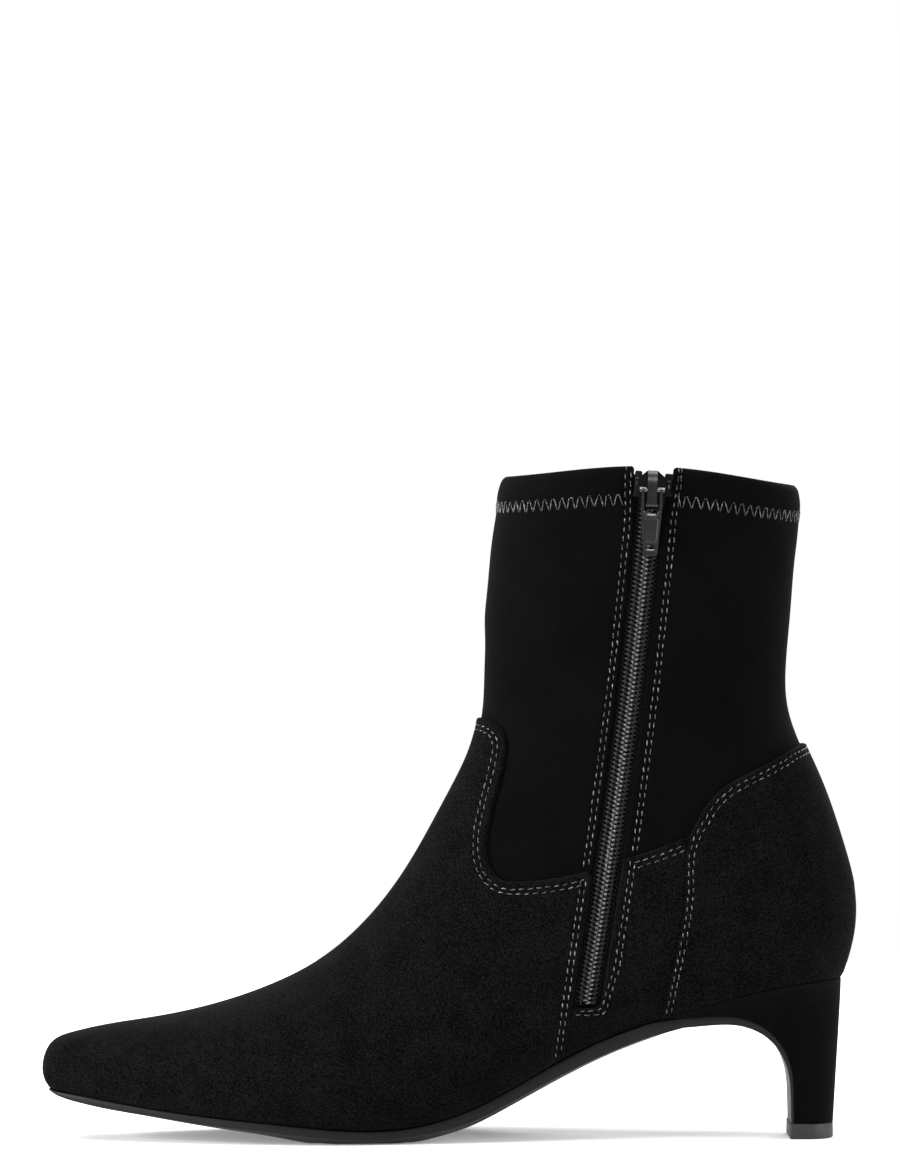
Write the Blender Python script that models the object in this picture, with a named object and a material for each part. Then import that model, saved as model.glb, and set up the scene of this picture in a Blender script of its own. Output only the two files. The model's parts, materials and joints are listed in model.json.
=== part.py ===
"""Heeled ankle boot for the right foot: stretch shaft, inside zip, covered heel.

The boot stands on its sole. The toe points along -X, the inside of the foot faces -Y and +Z is up.
All sizes are millimetres; MM turns them into metres where a mesh is made.
"""

import math
from collections import namedtuple

import bmesh
import bpy
import numpy as np
from mathutils import Matrix, Vector
from mathutils.bvhtree import BVHTree

MM = 0.001

# Thicknesses, and the gap that neighbouring pieces keep
UPPER_WALL = 1.6
PANEL_GAP = 0.3
PANEL_THICKNESS = 1.1
COUNTER_THICKNESS = 1.5
FIT_GAP = 0.3

# Cutting forms reach this far past the boot's sides, ends and floor. A form that cuts one side
# alone stops short of the middle, and edges that meet keep clear of each other's last points.
CUT_REACH = 95.0
CUT_MIDDLE = 8.0
FAR = 260.0
BELOW = -20.0
CORNER_CLEAR = 1.0

# Moves the last so that the finished boot is centred on its box
LAST_SHIFT_X = 0.1
LAST_SHIFT_Y = -0.3

# Mesh fineness
ROW_STEP = 12.0
SIDE_COLUMNS = 10

# One row for each section of the last, from the toe along the foot and up the shaft.
# base: where the section starts, on the feather edge or, above the heel, on the back line.
# crest: where it ends, on the ridge of the vamp or the front line of the shaft.
# body: the widest half-width on each side. widest: how far up the section that is, 0 to 1.
# crown and skirt: roundness above and below it, 2 being an ellipse and more being squarer.
Section = namedtuple(
    "Section",
    "name base_x base_z crest_x crest_z crest_y body_in body_out widest crown skirt",
)
SECTIONS = (
    Section("toe_tip", -126.0, 16.5, -126.2, 16.9, -2.6, 9.8, 4.6, 0.50, 3.0, 2.2),
    Section("toe_face", -125.6, 16.4, -128.2, 19.8, -2.6, 11.0, 5.8, 0.50, 3.0, 2.2),
    Section("toe_nose", -124.6, 16.2, -128.7, 24.0, -2.7, 12.4, 7.2, 0.46, 2.9, 2.2),
    Section("toe_brow", -122.6, 15.8, -126.8, 29.1, -2.8, 14.2, 9.0, 0.42, 2.7, 2.2),
    Section("toe_top", -118.5, 15.1, -121.7, 31.9, -3.0, 17.0, 11.8, 0.36, 2.5, 2.2),
    Section("toe_box", -110.0, 13.6, -110.8, 34.5, -3.3, 20.8, 15.8, 0.32, 2.3, 2.2),
    Section("toe_puff", -95.0, 11.3, -95.4, 37.0, -3.8, 26.4, 22.0, 0.28, 2.2, 2.2),
    Section("vamp_low", -75.0, 8.9, -76.2, 41.1, -4.3, 32.4, 29.8, 0.26, 2.1, 2.2),
    Section("vamp_mid", -55.0, 7.0, -57.0, 47.6, -4.6, 36.4, 36.4, 0.25, 2.0, 2.2),
    Section("ball", -33.0, 5.0, -38.2, 57.8, -4.5, 37.4, 40.2, 0.23, 1.9, 2.2),
    Section("waist_fore", -12.0, 5.7, -23.2, 71.8, -4.0, 35.4, 39.8, 0.22, 1.85, 2.2),
    Section("waist", 10.0, 12.6, -11.9, 87.3, -3.2, 32.4, 37.8, 0.22, 1.85, 2.2),
    Section("waist_rear", 32.0, 24.7, -3.4, 102.3, -2.4, 30.4, 35.4, 0.23, 1.85, 2.2),
    Section("shank", 54.0, 35.0, 2.1, 112.6, -1.6, 29.8, 33.2, 0.25, 1.9, 2.2),
    Section("heel_fore", 76.0, 42.0, 5.9, 120.4, -1.0, 29.9, 31.8, 0.28, 1.95, 2.2),
    Section("heel_mid", 97.0, 47.6, 8.3, 127.0, -0.6, 30.0, 31.0, 0.32, 2.0, 2.2),
    Section("heel_rear", 113.0, 50.2, 9.6, 132.4, -0.3, 30.0, 30.6, 0.36, 2.05, 2.2),
    Section("heel_back", 123.6, 51.0, 10.3, 137.0, 0.0, 30.0, 30.3, 0.40, 2.1, 2.2),
    Section("counter_low", 127.3, 63.5, 10.7, 143.0, 0.0, 30.1, 30.3, 0.43, 2.1, 2.2),
    Section("counter_mid", 128.1, 76.0, 10.9, 149.5, 0.0, 30.3, 30.4, 0.45, 2.1, 2.2),
    Section("counter_high", 124.0, 94.0, 11.1, 158.0, 0.0, 30.5, 30.6, 0.47, 2.1, 2.2),
    Section("counter_top", 117.0, 114.0, 11.0, 166.0, 0.0, 30.9, 30.9, 0.48, 2.1, 2.2),
    Section("ankle", 108.2, 136.0, 11.9, 176.0, 0.0, 31.4, 31.4, 0.49, 2.1, 2.1),
    Section("shaft_low", 107.3, 150.0, 12.6, 184.0, 0.0, 32.2, 32.2, 0.50, 2.1, 2.1),
    Section("shaft_mid", 108.7, 167.0, 13.5, 192.0, 0.0, 33.4, 33.4, 0.50, 2.1, 2.1),
    Section("shaft_high", 110.2, 185.0, 14.9, 200.5, 0.0, 34.7, 34.7, 0.50, 2.1, 2.1),
    Section("hem", 111.4, 198.0, 16.0, 206.2, 0.0, 35.5, 35.5, 0.50, 2.1, 2.1),
    Section("collar", 110.4, 208.4, 17.4, 211.3, 0.0, 35.9, 35.9, 0.50, 2.1, 2.1),
)
HEEL_BACK_ROW = [section.name for section in SECTIONS].index("heel_back")
SHAFT_HIGH_ROW = [section.name for section in SECTIONS].index("shaft_high")

# Plan of the feather edge, where upper meets sole: half-widths on the inside and the outside
PlanRow = namedtuple("PlanRow", "x inner outer")
PLAN = (
    PlanRow(-126.0, 9.6, 4.4),
    PlanRow(-124.6, 11.8, 6.6),
    PlanRow(-122.6, 13.6, 8.4),
    PlanRow(-118.5, 16.0, 10.8),
    PlanRow(-110.0, 19.4, 14.2),
    PlanRow(-95.0, 24.4, 19.8),
    PlanRow(-75.0, 29.8, 26.8),
    PlanRow(-55.0, 33.2, 32.8),
    PlanRow(-33.0, 33.4, 36.6),
    PlanRow(-12.0, 29.6, 35.6),
    PlanRow(10.0, 25.0, 32.2),
    PlanRow(32.0, 22.8, 28.6),
    PlanRow(54.0, 23.0, 26.4),
    PlanRow(76.0, 24.2, 25.2),
    PlanRow(92.0, 24.4, 24.6),
)
HEEL_ROUND_START = PLAN[-1].x
HEEL_ROUND_POWER = 2.3

# The collar's edge rises where the zip holds it up
COLLAR_RISE_INSIDE = 3.8
COLLAR_RISE_OUTSIDE = 1.5

# Panel edges in side view, each read from the sole upwards or from the back forwards
SidePoint = namedtuple("SidePoint", "x z")
VAMP_BACK_EDGE = (
    SidePoint(30.0, 16.0),
    SidePoint(33.6, 27.5),
    SidePoint(37.3, 42.3),
    SidePoint(40.2, 58.0),
    SidePoint(44.6, 86.0),
)
VAMP_TOP_EDGE = (
    SidePoint(44.6, 86.3),
    SidePoint(40.0, 85.2),
    SidePoint(30.6, 83.3),
    SidePoint(22.1, 82.6),
    SidePoint(16.1, 83.2),
    SidePoint(13.0, 86.4),
    SidePoint(11.7, 94.0),
    SidePoint(13.3, 103.8),
    SidePoint(15.8, 112.6),
    SidePoint(17.9, 121.6),
    SidePoint(18.2, 127.0),
    SidePoint(16.2, 131.2),
    SidePoint(12.4, 133.4),
    SidePoint(5.0, 134.2),
)
QUARTER_TOP_EDGE = (
    SidePoint(44.0, 86.2),
    SidePoint(52.0, 88.7),
    SidePoint(59.9, 91.4),
    SidePoint(67.0, 93.8),
    SidePoint(75.6, 97.5),
)
COUNTER_FRONT_EDGE = (
    SidePoint(62.0, 20.0),
    SidePoint(66.6, 40.0),
    SidePoint(71.0, 60.0),
    SidePoint(74.0, 79.0),
    SidePoint(75.6, 97.2),
)
COUNTER_TOP_EDGE = (
    SidePoint(75.6, 97.5),
    SidePoint(78.5, 103.2),
    SidePoint(82.2, 108.9),
    SidePoint(87.2, 113.3),
    SidePoint(92.1, 116.1),
    SidePoint(100.6, 120.2),
    SidePoint(107.9, 124.0),
    SidePoint(113.0, 125.7),
    SidePoint(122.0, 125.6),
)
EDGE_STEP = 2.2

# Zip: its centre line down the inside, and the slot that it fills
ZIP_LINE = (
    SidePoint(64.1, 214.0),
    SidePoint(58.6, 157.7),
    SidePoint(50.7, 95.0),
    SidePoint(43.0, 44.7),
)
ZIP_LINE_STEP = 5.0
ZIP_STRIP_STEP = 9.0
SLOT_HALF_WIDTH = 4.3
SLOT_TOP = 230.0
SLOT_POINTS = 38
SLOT_END_STEPS = 8
SLOT_END_DEPTH = 0.8
SLOT_FLARE = 1.9
PANEL_SLOT_GROW = 0.3
QUARTER_SLOT_TOP = 88.0
SLOT_FLARE_START = 194.0
TAPE_HALF_GAP = 0.35
TAPE_HALF_WIDTH = 9.0
TAPE_THICKNESS = 0.6
TAPE_TOP = 209.0
TAPE_END = 40.0
TAPE_COLUMNS = 3
COIL_HALF_WIDTH = 2.95
COIL_LOW = -1.5
COIL_HIGH = 0.7
COIL_TOP = 201.0
COIL_END = 45.0
COIL_COLUMNS = 2

# Slider and pull, in the slider's own axes: across the zip, up it and out from it
HINGE_HEIGHT = 206.0
PULL_LEAN = math.radians(2.0)
PLATE_LOW = 1.1
PLATE_HIGH = 2.3
PLATE_HALF_OUTLINE = ((0, 6.6), (2.2, 6.4), (4.0, 5.0), (4.4, 3.0), (4.2, 0.5), (3.7, -3.0), (3.5, -5.8))
TAB_CUT_REACH = 8.0
HINGE_OUT = 3.4
BAIL_HALF_WIDTH = 1.5
BAIL_UNDER = 4.4
BAIL_OVER = 5.4
BAIL_TOP_END = 6.4
BAIL_LOW_END = -5.0
BAIL_LEG = 1.1
BAIL_SUNK = 0.5
BAIL_ROUND = 1.0
PULL_THICKNESS = 1.4
PULL_BAR_RADIUS = 0.6
PULL_BAR_HALF_LENGTH = 3.85
PULL_BAR_SIDES = 14
PULL_HALF_OUTLINE = ((2.9, 0.75), (3.3, 0.3), (3.3, -4.0), (3.15, -8.0), (2.2, -20.1), (1.8, -20.6))

# The pull's window, sunk panel and eye: half-width and height at the top, then at the end
Taper = namedtuple("Taper", "half_top top half_end end")
PULL_WINDOW = Taper(2.45, 3.0, 2.45, -7.6)
PULL_WINDOW_ROUND = 1.6
PULL_RECESS = Taper(2.3, -8.9, 1.75, -16.2)
PULL_RECESS_ROUND = 0.5
PULL_RECESS_DEPTH = 0.35
PULL_EYE = Taper(1.45, -17.0, 1.35, -18.7)
PULL_EYE_ROUND = 0.4

# Sole: thickness at the edge, how far it stands out past the feather edge, and how much lower
# its middle is than its edge
SoleRow = namedtuple("SoleRow", "x thickness margin lift")
SOLE_ROWS = (
    SoleRow(-127.8, 0.9, 0.2, 0.1),
    SoleRow(-126.2, 1.6, 1.4, 0.2),
    SoleRow(-123.4, 2.0, 1.9, 0.4),
    SoleRow(-118.0, 2.1, 2.1, 0.5),
    SoleRow(-110.0, 2.3, 2.2, 0.6),
    SoleRow(-98.0, 2.2, 2.2, 0.8),
    SoleRow(-84.0, 2.4, 2.2, 1.0),
    SoleRow(-70.0, 2.6, 2.2, 1.3),
    SoleRow(-56.0, 2.7, 2.2, 1.9),
    SoleRow(-44.0, 2.9, 2.2, 2.6),
    SoleRow(-33.0, 2.8, 2.2, 2.6),
    SoleRow(-22.0, 2.8, 2.1, 2.6),
    SoleRow(-11.0, 2.9, 2.0, 2.4),
    SoleRow(-2.0, 3.4, 1.9, 2.0),
    SoleRow(7.0, 3.9, 1.8, 1.8),
    SoleRow(16.0, 4.1, 1.7, 1.6),
    SoleRow(26.0, 4.4, 1.6, 1.5),
    SoleRow(36.0, 4.7, 1.6, 1.3),
    SoleRow(46.0, 4.7, 1.6, 1.1),
    SoleRow(56.0, 4.5, 1.6, 1.0),
    SoleRow(64.0, 4.3, 1.6, 0.9),
)
SOLE_GAP = 0.5
SOLE_STEP = 6.0
SOLE_FRONT_REACH = 1.8
SOLE_FRONT_LENGTH = 14.0
SOLE_FLAT_SHARE = 0.70

# The sole's edge in section: how far in from its widest point, and how deep as a share of it
SoleEdge = namedtuple("SoleEdge", "inset depth")
SOLE_EDGE = (SoleEdge(0.25, 0.0), SoleEdge(0.0, 0.35), SoleEdge(0.55, 0.95))
FLAP_THICKNESS_TOP = 3.2
FLAP_THICKNESS_END = 1.0
FLAP_INSET = 0.3

# Heel: front edge and spread at each level between the top piece (0) and the seat (1)
HeelRow = namedtuple("HeelRow", "level front_x spread")
HEEL_ROWS = (
    HeelRow(0.00, 109.4, 0.00),
    HeelRow(0.20, 109.3, 0.05),
    HeelRow(0.36, 108.8, 0.12),
    HeelRow(0.48, 107.3, 0.20),
    HeelRow(0.61, 104.1, 0.32),
    HeelRow(0.73, 99.0, 0.46),
    HeelRow(0.81, 93.6, 0.58),
    HeelRow(0.87, 87.2, 0.69),
    HeelRow(0.91, 80.5, 0.78),
    HeelRow(0.955, 73.0, 0.88),
    HeelRow(1.00, 68.6, 1.00),
)
HEEL_SEAT_MARGIN = 1.6
HEEL_SEAT_BACK = 124.9
HEEL_END_BACK = 122.4
HEEL_END_HALF_WIDTH = 12.0
HEEL_END_STRAIGHT = 0.40
TOP_PIECE_HEIGHT = 5.0
TOP_PIECE_FRONT = 108.1
HEEL_SIDE_POINTS = 12

# Insole
INSOLE_THICKNESS = 2.2
INSOLE_INSET = 2.8
INSOLE_FRONT = -123.0
INSOLE_BACK = 120.4
INSOLE_BLUNT = 0.6
INSOLE_STATIONS = 26
INSOLE_HEEL_STATIONS = 8

Finish = namedtuple("Finish", "colour roughness metallic")
SUEDE = Finish((0.012, 0.012, 0.013), 0.9, 0.0)
CLOTH = Finish((0.008, 0.008, 0.009), 0.85, 0.0)
SOLE_GREY = Finish((0.03, 0.03, 0.033), 0.45, 0.0)
METAL = Finish((0.02, 0.02, 0.022), 0.3, 1.0)


class Spline:
    """A natural cubic curve through rows of values at rising knots."""

    def __init__(self, knots, values):
        self.knots = np.asarray(knots, float)
        self.values = np.asarray(values, float)
        count = len(self.knots)
        steps = np.diff(self.knots)
        slopes = np.diff(self.values, axis=0) / self._across(steps)
        matrix = np.eye(count)
        right = np.zeros_like(self.values)
        for i in range(1, count - 1):
            matrix[i, i - 1] = steps[i - 1]
            matrix[i, i] = 2 * (steps[i - 1] + steps[i])
            matrix[i, i + 1] = steps[i]
            right[i] = 6 * (slopes[i] - slopes[i - 1])
        self.bends = np.linalg.solve(matrix, right)

    def _across(self, column):
        return column.reshape((-1,) + (1,) * (self.values.ndim - 1))

    def __call__(self, where):
        where = np.atleast_1d(np.asarray(where, float))
        i = np.clip(np.searchsorted(self.knots, where) - 1, 0, len(self.knots) - 2)
        step = self._across(self.knots[i + 1] - self.knots[i])
        left = self._across(self.knots[i + 1] - where) / step
        right = 1 - left
        bend = (left**3 - left) * self.bends[i] + (right**3 - right) * self.bends[i + 1]
        return left * self.values[i] + right * self.values[i + 1] + bend * step**2 / 6


def smooth_step(value):
    value = np.clip(value, 0.0, 1.0)
    return value * value * (3 - 2 * value)


def smooth_edge(points, step=EDGE_STEP):
    """A smooth line through side points, as (x, z) pairs about one step apart."""
    line = np.array(points, float)
    knots = np.concatenate([[0], np.cumsum(np.linalg.norm(np.diff(line, axis=0), axis=1))])
    count = max(2, round(knots[-1] / step) + 1)
    return Spline(knots, line)(np.linspace(0, knots[-1], count))


PLAN_CURVE = Spline([row.x for row in PLAN], [(row.inner, row.outer) for row in PLAN])


def plan_halves(x, back_x=SECTIONS[HEEL_BACK_ROW].base_x, margin=0.0):
    """Half-widths (inside, outside) of the feather edge at x, closing round the heel at back_x."""
    x = np.atleast_1d(np.asarray(x, float))
    halves = PLAN_CURVE(np.clip(x, PLAN[0].x, HEEL_ROUND_START)) + margin
    share = np.clip((x - HEEL_ROUND_START) / (back_x - HEEL_ROUND_START), 0, 1)
    closing = (1 - share**HEEL_ROUND_POWER) ** (1 / HEEL_ROUND_POWER)
    return halves * closing[:, None]


class Last:
    """The shape that every upper piece follows: sections from SECTIONS, smooth in between."""

    SMOOTH_COLUMNS = "crest_x crest_z crest_y body_in body_out widest crown skirt".split()

    def __init__(self):
        base = np.array([(s.base_x, s.base_z) for s in SECTIONS])
        crest = np.array([(s.crest_x, s.crest_z) for s in SECTIONS])
        spans = np.linalg.norm(np.diff(base, axis=0), axis=1)
        spans = (spans + np.linalg.norm(np.diff(crest, axis=0), axis=1)) / 2
        self.knots = np.concatenate([[0], np.cumsum(spans)])
        self.heel_knot = self.knots[HEEL_BACK_ROW]
        self.foot_base = Spline(self.knots[: HEEL_BACK_ROW + 1], base[: HEEL_BACK_ROW + 1])
        self.back_base = Spline(self.knots[HEEL_BACK_ROW:], base[HEEL_BACK_ROW:])
        columns = [[getattr(s, name) for name in self.SMOOTH_COLUMNS] for s in SECTIONS]
        self.smooth = Spline(self.knots, columns)
        along = self.foot_base(np.linspace(0, self.heel_knot, 600))
        self.feather_x = along[:, 0]
        self.feather_z = along[:, 1]

    def feather_height(self, x):
        """Height of the feather edge at x."""
        return np.interp(x, self.feather_x, self.feather_z)

    def base(self, knot):
        """(x, z) where the section at a knot starts."""
        curve = self.foot_base if knot <= self.heel_knot else self.back_base
        return curve(knot)[0]

    def stations(self, step):
        """Knots about one step apart, closer round the toe and the heel, and all the table's rows."""
        fine = np.linspace(0, self.knots[-1], 1500)
        base = np.array([self.base(knot) for knot in fine])
        halves = np.where(fine[:, None] < self.heel_knot, plan_halves(base[:, 0]), 0)
        guides = (np.column_stack([base, halves[:, 0]]), self.smooth(fine)[:, :2])
        moved = np.max([np.linalg.norm(np.diff(g, axis=0), axis=1) for g in guides], axis=0)
        travel = np.concatenate([[0], np.cumsum(moved)])
        stops = np.interp(self.knots, fine, travel)
        found = [0.0]
        for start, end in zip(stops, stops[1:]):
            count = max(1, round((end - start) / step))
            found += list(np.linspace(start, end, count + 1)[1:])
        return np.interp(found, travel, fine)

    def half_section(self, feather, body, widest, crown, skirt, length, columns):
        """One side of a section, evenly spaced: half-widths, and how far up from base to crest."""
        closeness = min(feather / body, 0.9995)
        start = math.asin(math.sqrt(1 - closeness**skirt))
        drop = widest / math.sin(start) ** (2 / skirt)
        low = np.linspace(-start, 0, 48)[:-1]
        high = np.linspace(0, math.pi / 2, 96)
        low_width = body * np.cos(low) ** (2 / skirt)
        low_rise = widest - drop * np.abs(np.sin(low)) ** (2 / skirt)
        high_width = body * np.clip(np.cos(high), 0, 1) ** (2 / crown)
        high_rise = widest + (1 - widest) * np.sin(high) ** (2 / crown)
        width = np.concatenate([low_width, high_width])
        rise = np.concatenate([low_rise, high_rise])
        width[0] = min(feather, body)
        rise[0] = 0.0
        width[-1] = 0.0
        lengths = np.hypot(np.diff(width), np.diff(rise) * length)
        travel = np.concatenate([[0], np.cumsum(lengths)])
        even = np.linspace(0, travel[-1], columns + 1)
        return np.interp(even, travel, width), np.interp(even, travel, rise)

    def row(self, knot, columns):
        """Points (x, y, z) of one section, from the inside's base over the crest to the outside's."""
        base = self.base(knot)
        values = dict(zip(self.SMOOTH_COLUMNS, self.smooth(knot)[0]))
        crest = np.array([values["crest_x"], values["crest_z"]])
        closed = knot >= self.heel_knot - 1e-6
        halves = (0.0, 0.0) if closed else plan_halves(base[0])[0]
        top_share = (knot - self.knots[SHAFT_HIGH_ROW]) / (self.knots[-1] - self.knots[SHAFT_HIGH_ROW])
        top_share = float(smooth_step(top_share))
        sides = []
        for sign, half, body, collar_rise in (
            (-1, halves[0], values["body_in"], COLLAR_RISE_INSIDE),
            (1, halves[1], values["body_out"], COLLAR_RISE_OUTSIDE),
        ):
            lean = -sign * values["crest_y"]
            feather = 0.0 if closed else half + lean
            width, rise = self.half_section(
                feather,
                body + lean,
                values["widest"],
                values["crown"],
                values["skirt"],
                np.linalg.norm(crest - base),
                columns,
            )
            points = np.empty((columns + 1, 3))
            points[:, [0, 2]] = base + rise[:, None] * (crest - base)
            points[:, 1] = values["crest_y"] + sign * width
            points[:, 2] += collar_rise * top_share * np.sin(math.pi * rise) ** 1.5
            sides.append(points)
        whole = np.concatenate([sides[0], sides[1][-2::-1]])
        return whole + (LAST_SHIFT_X, LAST_SHIFT_Y, 0)

    def sheet(self, step=ROW_STEP, columns=SIDE_COLUMNS):
        """The outside of the upper as an open mesh, its back seam joined."""
        mesh = bmesh.new()
        rows = []
        for knot in self.stations(step):
            line = [mesh.verts.new(Vector(p) * MM) for p in self.row(knot, columns)]
            if knot >= self.heel_knot - 1e-6:
                mesh.verts.remove(line[-1])
                line[-1] = line[0]
            rows.append(line)
        for front, back in zip(rows, rows[1:]):
            for j in range(len(front) - 1):
                corners = [front[j], back[j], back[j + 1], front[j + 1]]
                mesh.faces.new([v for k, v in enumerate(corners) if v not in corners[:k]])
        bmesh.ops.triangulate(mesh, faces=mesh.faces, quad_method="SHORT_EDGE")
        mesh.normal_update()
        return mesh


def shell(sheet, low, high, level_edges=True):
    """A closed body between two offsets (mm) from an open sheet, its edges level or square to it."""
    body = bmesh.new()
    normals = {}
    for vert in sheet.verts:
        normal = vert.normal.copy()
        if level_edges and vert.is_boundary:
            normal.z = 0.0
        normals[vert] = normal.normalized()
    outer = {v: body.verts.new(v.co + normals[v] * high * MM) for v in sheet.verts}
    inner = {v: body.verts.new(v.co + normals[v] * low * MM) for v in sheet.verts}
    for face in sheet.faces:
        body.faces.new([outer[v] for v in face.verts])
        body.faces.new([inner[v] for v in reversed(face.verts)])
        for loop in face.loops:
            if loop.edge.is_boundary:
                a = loop.vert
                b = loop.link_loop_next.vert
                body.faces.new([outer[b], outer[a], inner[a], inner[b]])
    return body


def mesh_of(name, body):
    """A mesh with its faces pointing out."""
    bmesh.ops.recalc_face_normals(body, faces=body.faces)
    mesh = bpy.data.meshes.new(name)
    body.to_mesh(mesh)
    body.free()
    return mesh


def finish_object(name, body, collection, finish, origin=Vector()):
    """An object for one piece, with its own material and with its origin at a point."""
    bmesh.ops.translate(body, vec=-origin, verts=body.verts)
    mesh = mesh_of(name, body)
    mesh.shade_smooth()
    material = bpy.data.materials.new(name)
    material.use_nodes = True
    shader = material.node_tree.nodes["Principled BSDF"]
    shader.inputs["Base Color"].default_value = (*finish.colour, 1.0)
    shader.inputs["Roughness"].default_value = finish.roughness
    shader.inputs["Metallic"].default_value = finish.metallic
    mesh.materials.append(material)
    piece = bpy.data.objects.new(name, mesh)
    piece.location = origin
    collection.objects.link(piece)
    return piece


def helper_object(name, body, collection):
    """A cutter or a form to be joined: never a piece of its own."""
    helper = bpy.data.objects.new(name, mesh_of(name, body))
    helper.hide_render = True
    helper.display_type = "WIRE"
    collection.objects.link(helper)
    return helper


def boolean(piece, helper, operation):
    modifier = piece.modifiers.new(helper.name, "BOOLEAN")
    modifier.operation = operation
    modifier.solver = "EXACT"
    modifier.object = helper


def plan_place(x, y, z):
    return Vector((x + LAST_SHIFT_X, y + LAST_SHIFT_Y, z)) * MM


def side_place(x, z, y):
    return plan_place(x, y, z)


def prism(outline, low, high, place):
    """A closed body from a flat outline of (a, b) pairs; place(a, b, depth) gives its points."""
    body = bmesh.new()
    face = body.faces.new([body.verts.new(place(a, b, low)) for a, b in outline])
    made = bmesh.ops.extrude_face_region(body, geom=[face])["geom"]
    moved = [item for item in made if isinstance(item, bmesh.types.BMVert)]
    bmesh.ops.translate(body, vec=place(0, 0, high) - place(0, 0, low), verts=moved)
    return body


def loft(rings, caps):
    """A closed body through rings of points (mm). caps(ring) lists the faces across an end."""
    body = bmesh.new()
    made = [[body.verts.new(plan_place(*point)) for point in ring] for ring in rings]
    for low, high in zip(made, made[1:]):
        for i in range(len(low)):
            j = (i + 1) % len(low)
            body.faces.new([low[i], low[j], high[j], high[i]])
    for ring in (made[0], made[-1]):
        for face in caps(ring):
            body.faces.new(face)
    return body


def ladder_cap(ring):
    """Faces across a ring whose second half mirrors its first, back to front."""
    faces = []
    count = len(ring)
    for i in range((count - 1) // 2):
        corners = [ring[i], ring[i + 1], ring[count - 2 - i], ring[count - 1 - i]]
        faces.append([v for k, v in enumerate(corners) if v not in corners[:k]])
    return faces


def whole_cap(ring):
    return [ring]


def zip_line():
    """Points (x, z) down the zip's centre line, and the line's tangents."""
    line = smooth_edge(ZIP_LINE, ZIP_LINE_STEP)
    tangents = np.gradient(line, axis=0)
    return line, tangents / np.linalg.norm(tangents, axis=1)[:, None]


ZIP_POINTS, ZIP_TANGENTS = zip_line()


def zip_at(z):
    """(x, tangent) of the zip's centre line at a height."""
    heights = ZIP_POINTS[::-1, 1]
    x = np.interp(z, heights, ZIP_POINTS[::-1, 0])
    tangent = [np.interp(z, heights, ZIP_TANGENTS[::-1, k]) for k in range(2)]
    return x, np.array(tangent)


def slot_edges(grow=0.0):
    """The zip's slot in side view: its front, round lower end and back, flared at the collar."""
    front = []
    back = []
    for z in np.linspace(COIL_END, SLOT_TOP, SLOT_POINTS):
        x, _ = zip_at(min(z, ZIP_LINE[0].z))
        flare = SLOT_FLARE * smooth_step((z - SLOT_FLARE_START) / (ZIP_LINE[0].z - SLOT_FLARE_START))
        half = SLOT_HALF_WIDTH + float(flare) + grow
        front.append((x - half, z))
        back.append((x + half, z))
    middle = (front[0][0] + back[0][0]) / 2
    radius = back[0][0] - middle
    turn = np.linspace(0, -math.pi, SLOT_END_STEPS + 1)[1:-1]
    end = [(middle + radius * math.cos(a), COIL_END + radius * SLOT_END_DEPTH * math.sin(a)) for a in turn]
    return front[::-1], end[::-1], back


def side_hit(tree, x, z):
    """The point of the upper's inner side at (x, z) in side view."""
    return tree.ray_cast(side_place(x, z, -CUT_REACH), Vector((0, 1, 0)))[0]


def upper_patch(tree, lines):
    """An open sheet on the upper's inner side through rows of (x, z) points, each as long."""
    patch = bmesh.new()
    rows = [[patch.verts.new(side_hit(tree, x, z)) for x, z in line] for line in lines]
    for first, second in zip(rows, rows[1:]):
        for i in range(len(first) - 1):
            patch.faces.new((first[i], second[i], second[i + 1], first[i + 1]))
    patch.normal_update()
    if sum(face.normal.y for face in patch.faces) > 0:
        bmesh.ops.reverse_faces(patch, faces=patch.faces)
        patch.normal_update()
    return patch


def zip_strip(tree, near, far, top, end, low, high, across):
    """Half of the zip: between two distances from its centre line, and two offsets from the upper."""
    lines = []
    for z in np.linspace(top, end, max(2, round((top - end) / ZIP_STRIP_STEP)) + 1):
        x, tangent = zip_at(z)
        reach = np.linspace(near, far, across + 1)
        lines.append([(x - tangent[1] * r, z + tangent[0] * r) for r in reach])
    return shell(upper_patch(tree, lines), low, high, level_edges=False)


class SliderFrame:
    """The slider's own axes: across the zip, up it and out from the upper."""

    def __init__(self, tree):
        x, _ = zip_at(HINGE_HEIGHT)
        self.origin = side_hit(tree, x, HINGE_HEIGHT)
        lean = Matrix.Rotation(PULL_LEAN, 3, "Y")
        self.across = lean @ Vector((1, 0, 0))
        self.up = lean @ Vector((0, 0, 1))
        self.out = Vector((0, -1, 0))

    def face(self, across, up, out):
        """A point of an outline that is drawn as seen from outside."""
        return self.origin + (self.across * across + self.up * up + self.out * out) * MM

    def edge(self, up, out, across):
        """A point of an outline that is drawn as seen along the hinge."""
        return self.face(across, up, out)


def rounded(points, radius, steps=4):
    """An outline with its corners rounded off."""
    line = []
    count = len(points)
    for i, corner in enumerate(points):
        corner = np.array(corner, float)
        before = np.array(points[i - 1], float) - corner
        after = np.array(points[(i + 1) % count], float) - corner
        reach = min(radius, np.linalg.norm(before) / 2.01, np.linalg.norm(after) / 2.01)
        start = corner + before / np.linalg.norm(before) * reach
        end = corner + after / np.linalg.norm(after) * reach
        for t in np.linspace(0, 1, steps):
            line.append(tuple((1 - t) ** 2 * start + 2 * t * (1 - t) * corner + t * t * end))
    return line


def taper(half_top, top, half_end, end):
    """Corners of a symmetric four-sided outline, across and up."""
    return [(-half_top, top), (half_top, top), (half_end, end), (-half_end, end)]


def mirrored(half):
    """A whole outline from its right half, read from the top down."""
    return [(-a, b) for a, b in half[::-1] if a > 0] + list(half)


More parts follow.
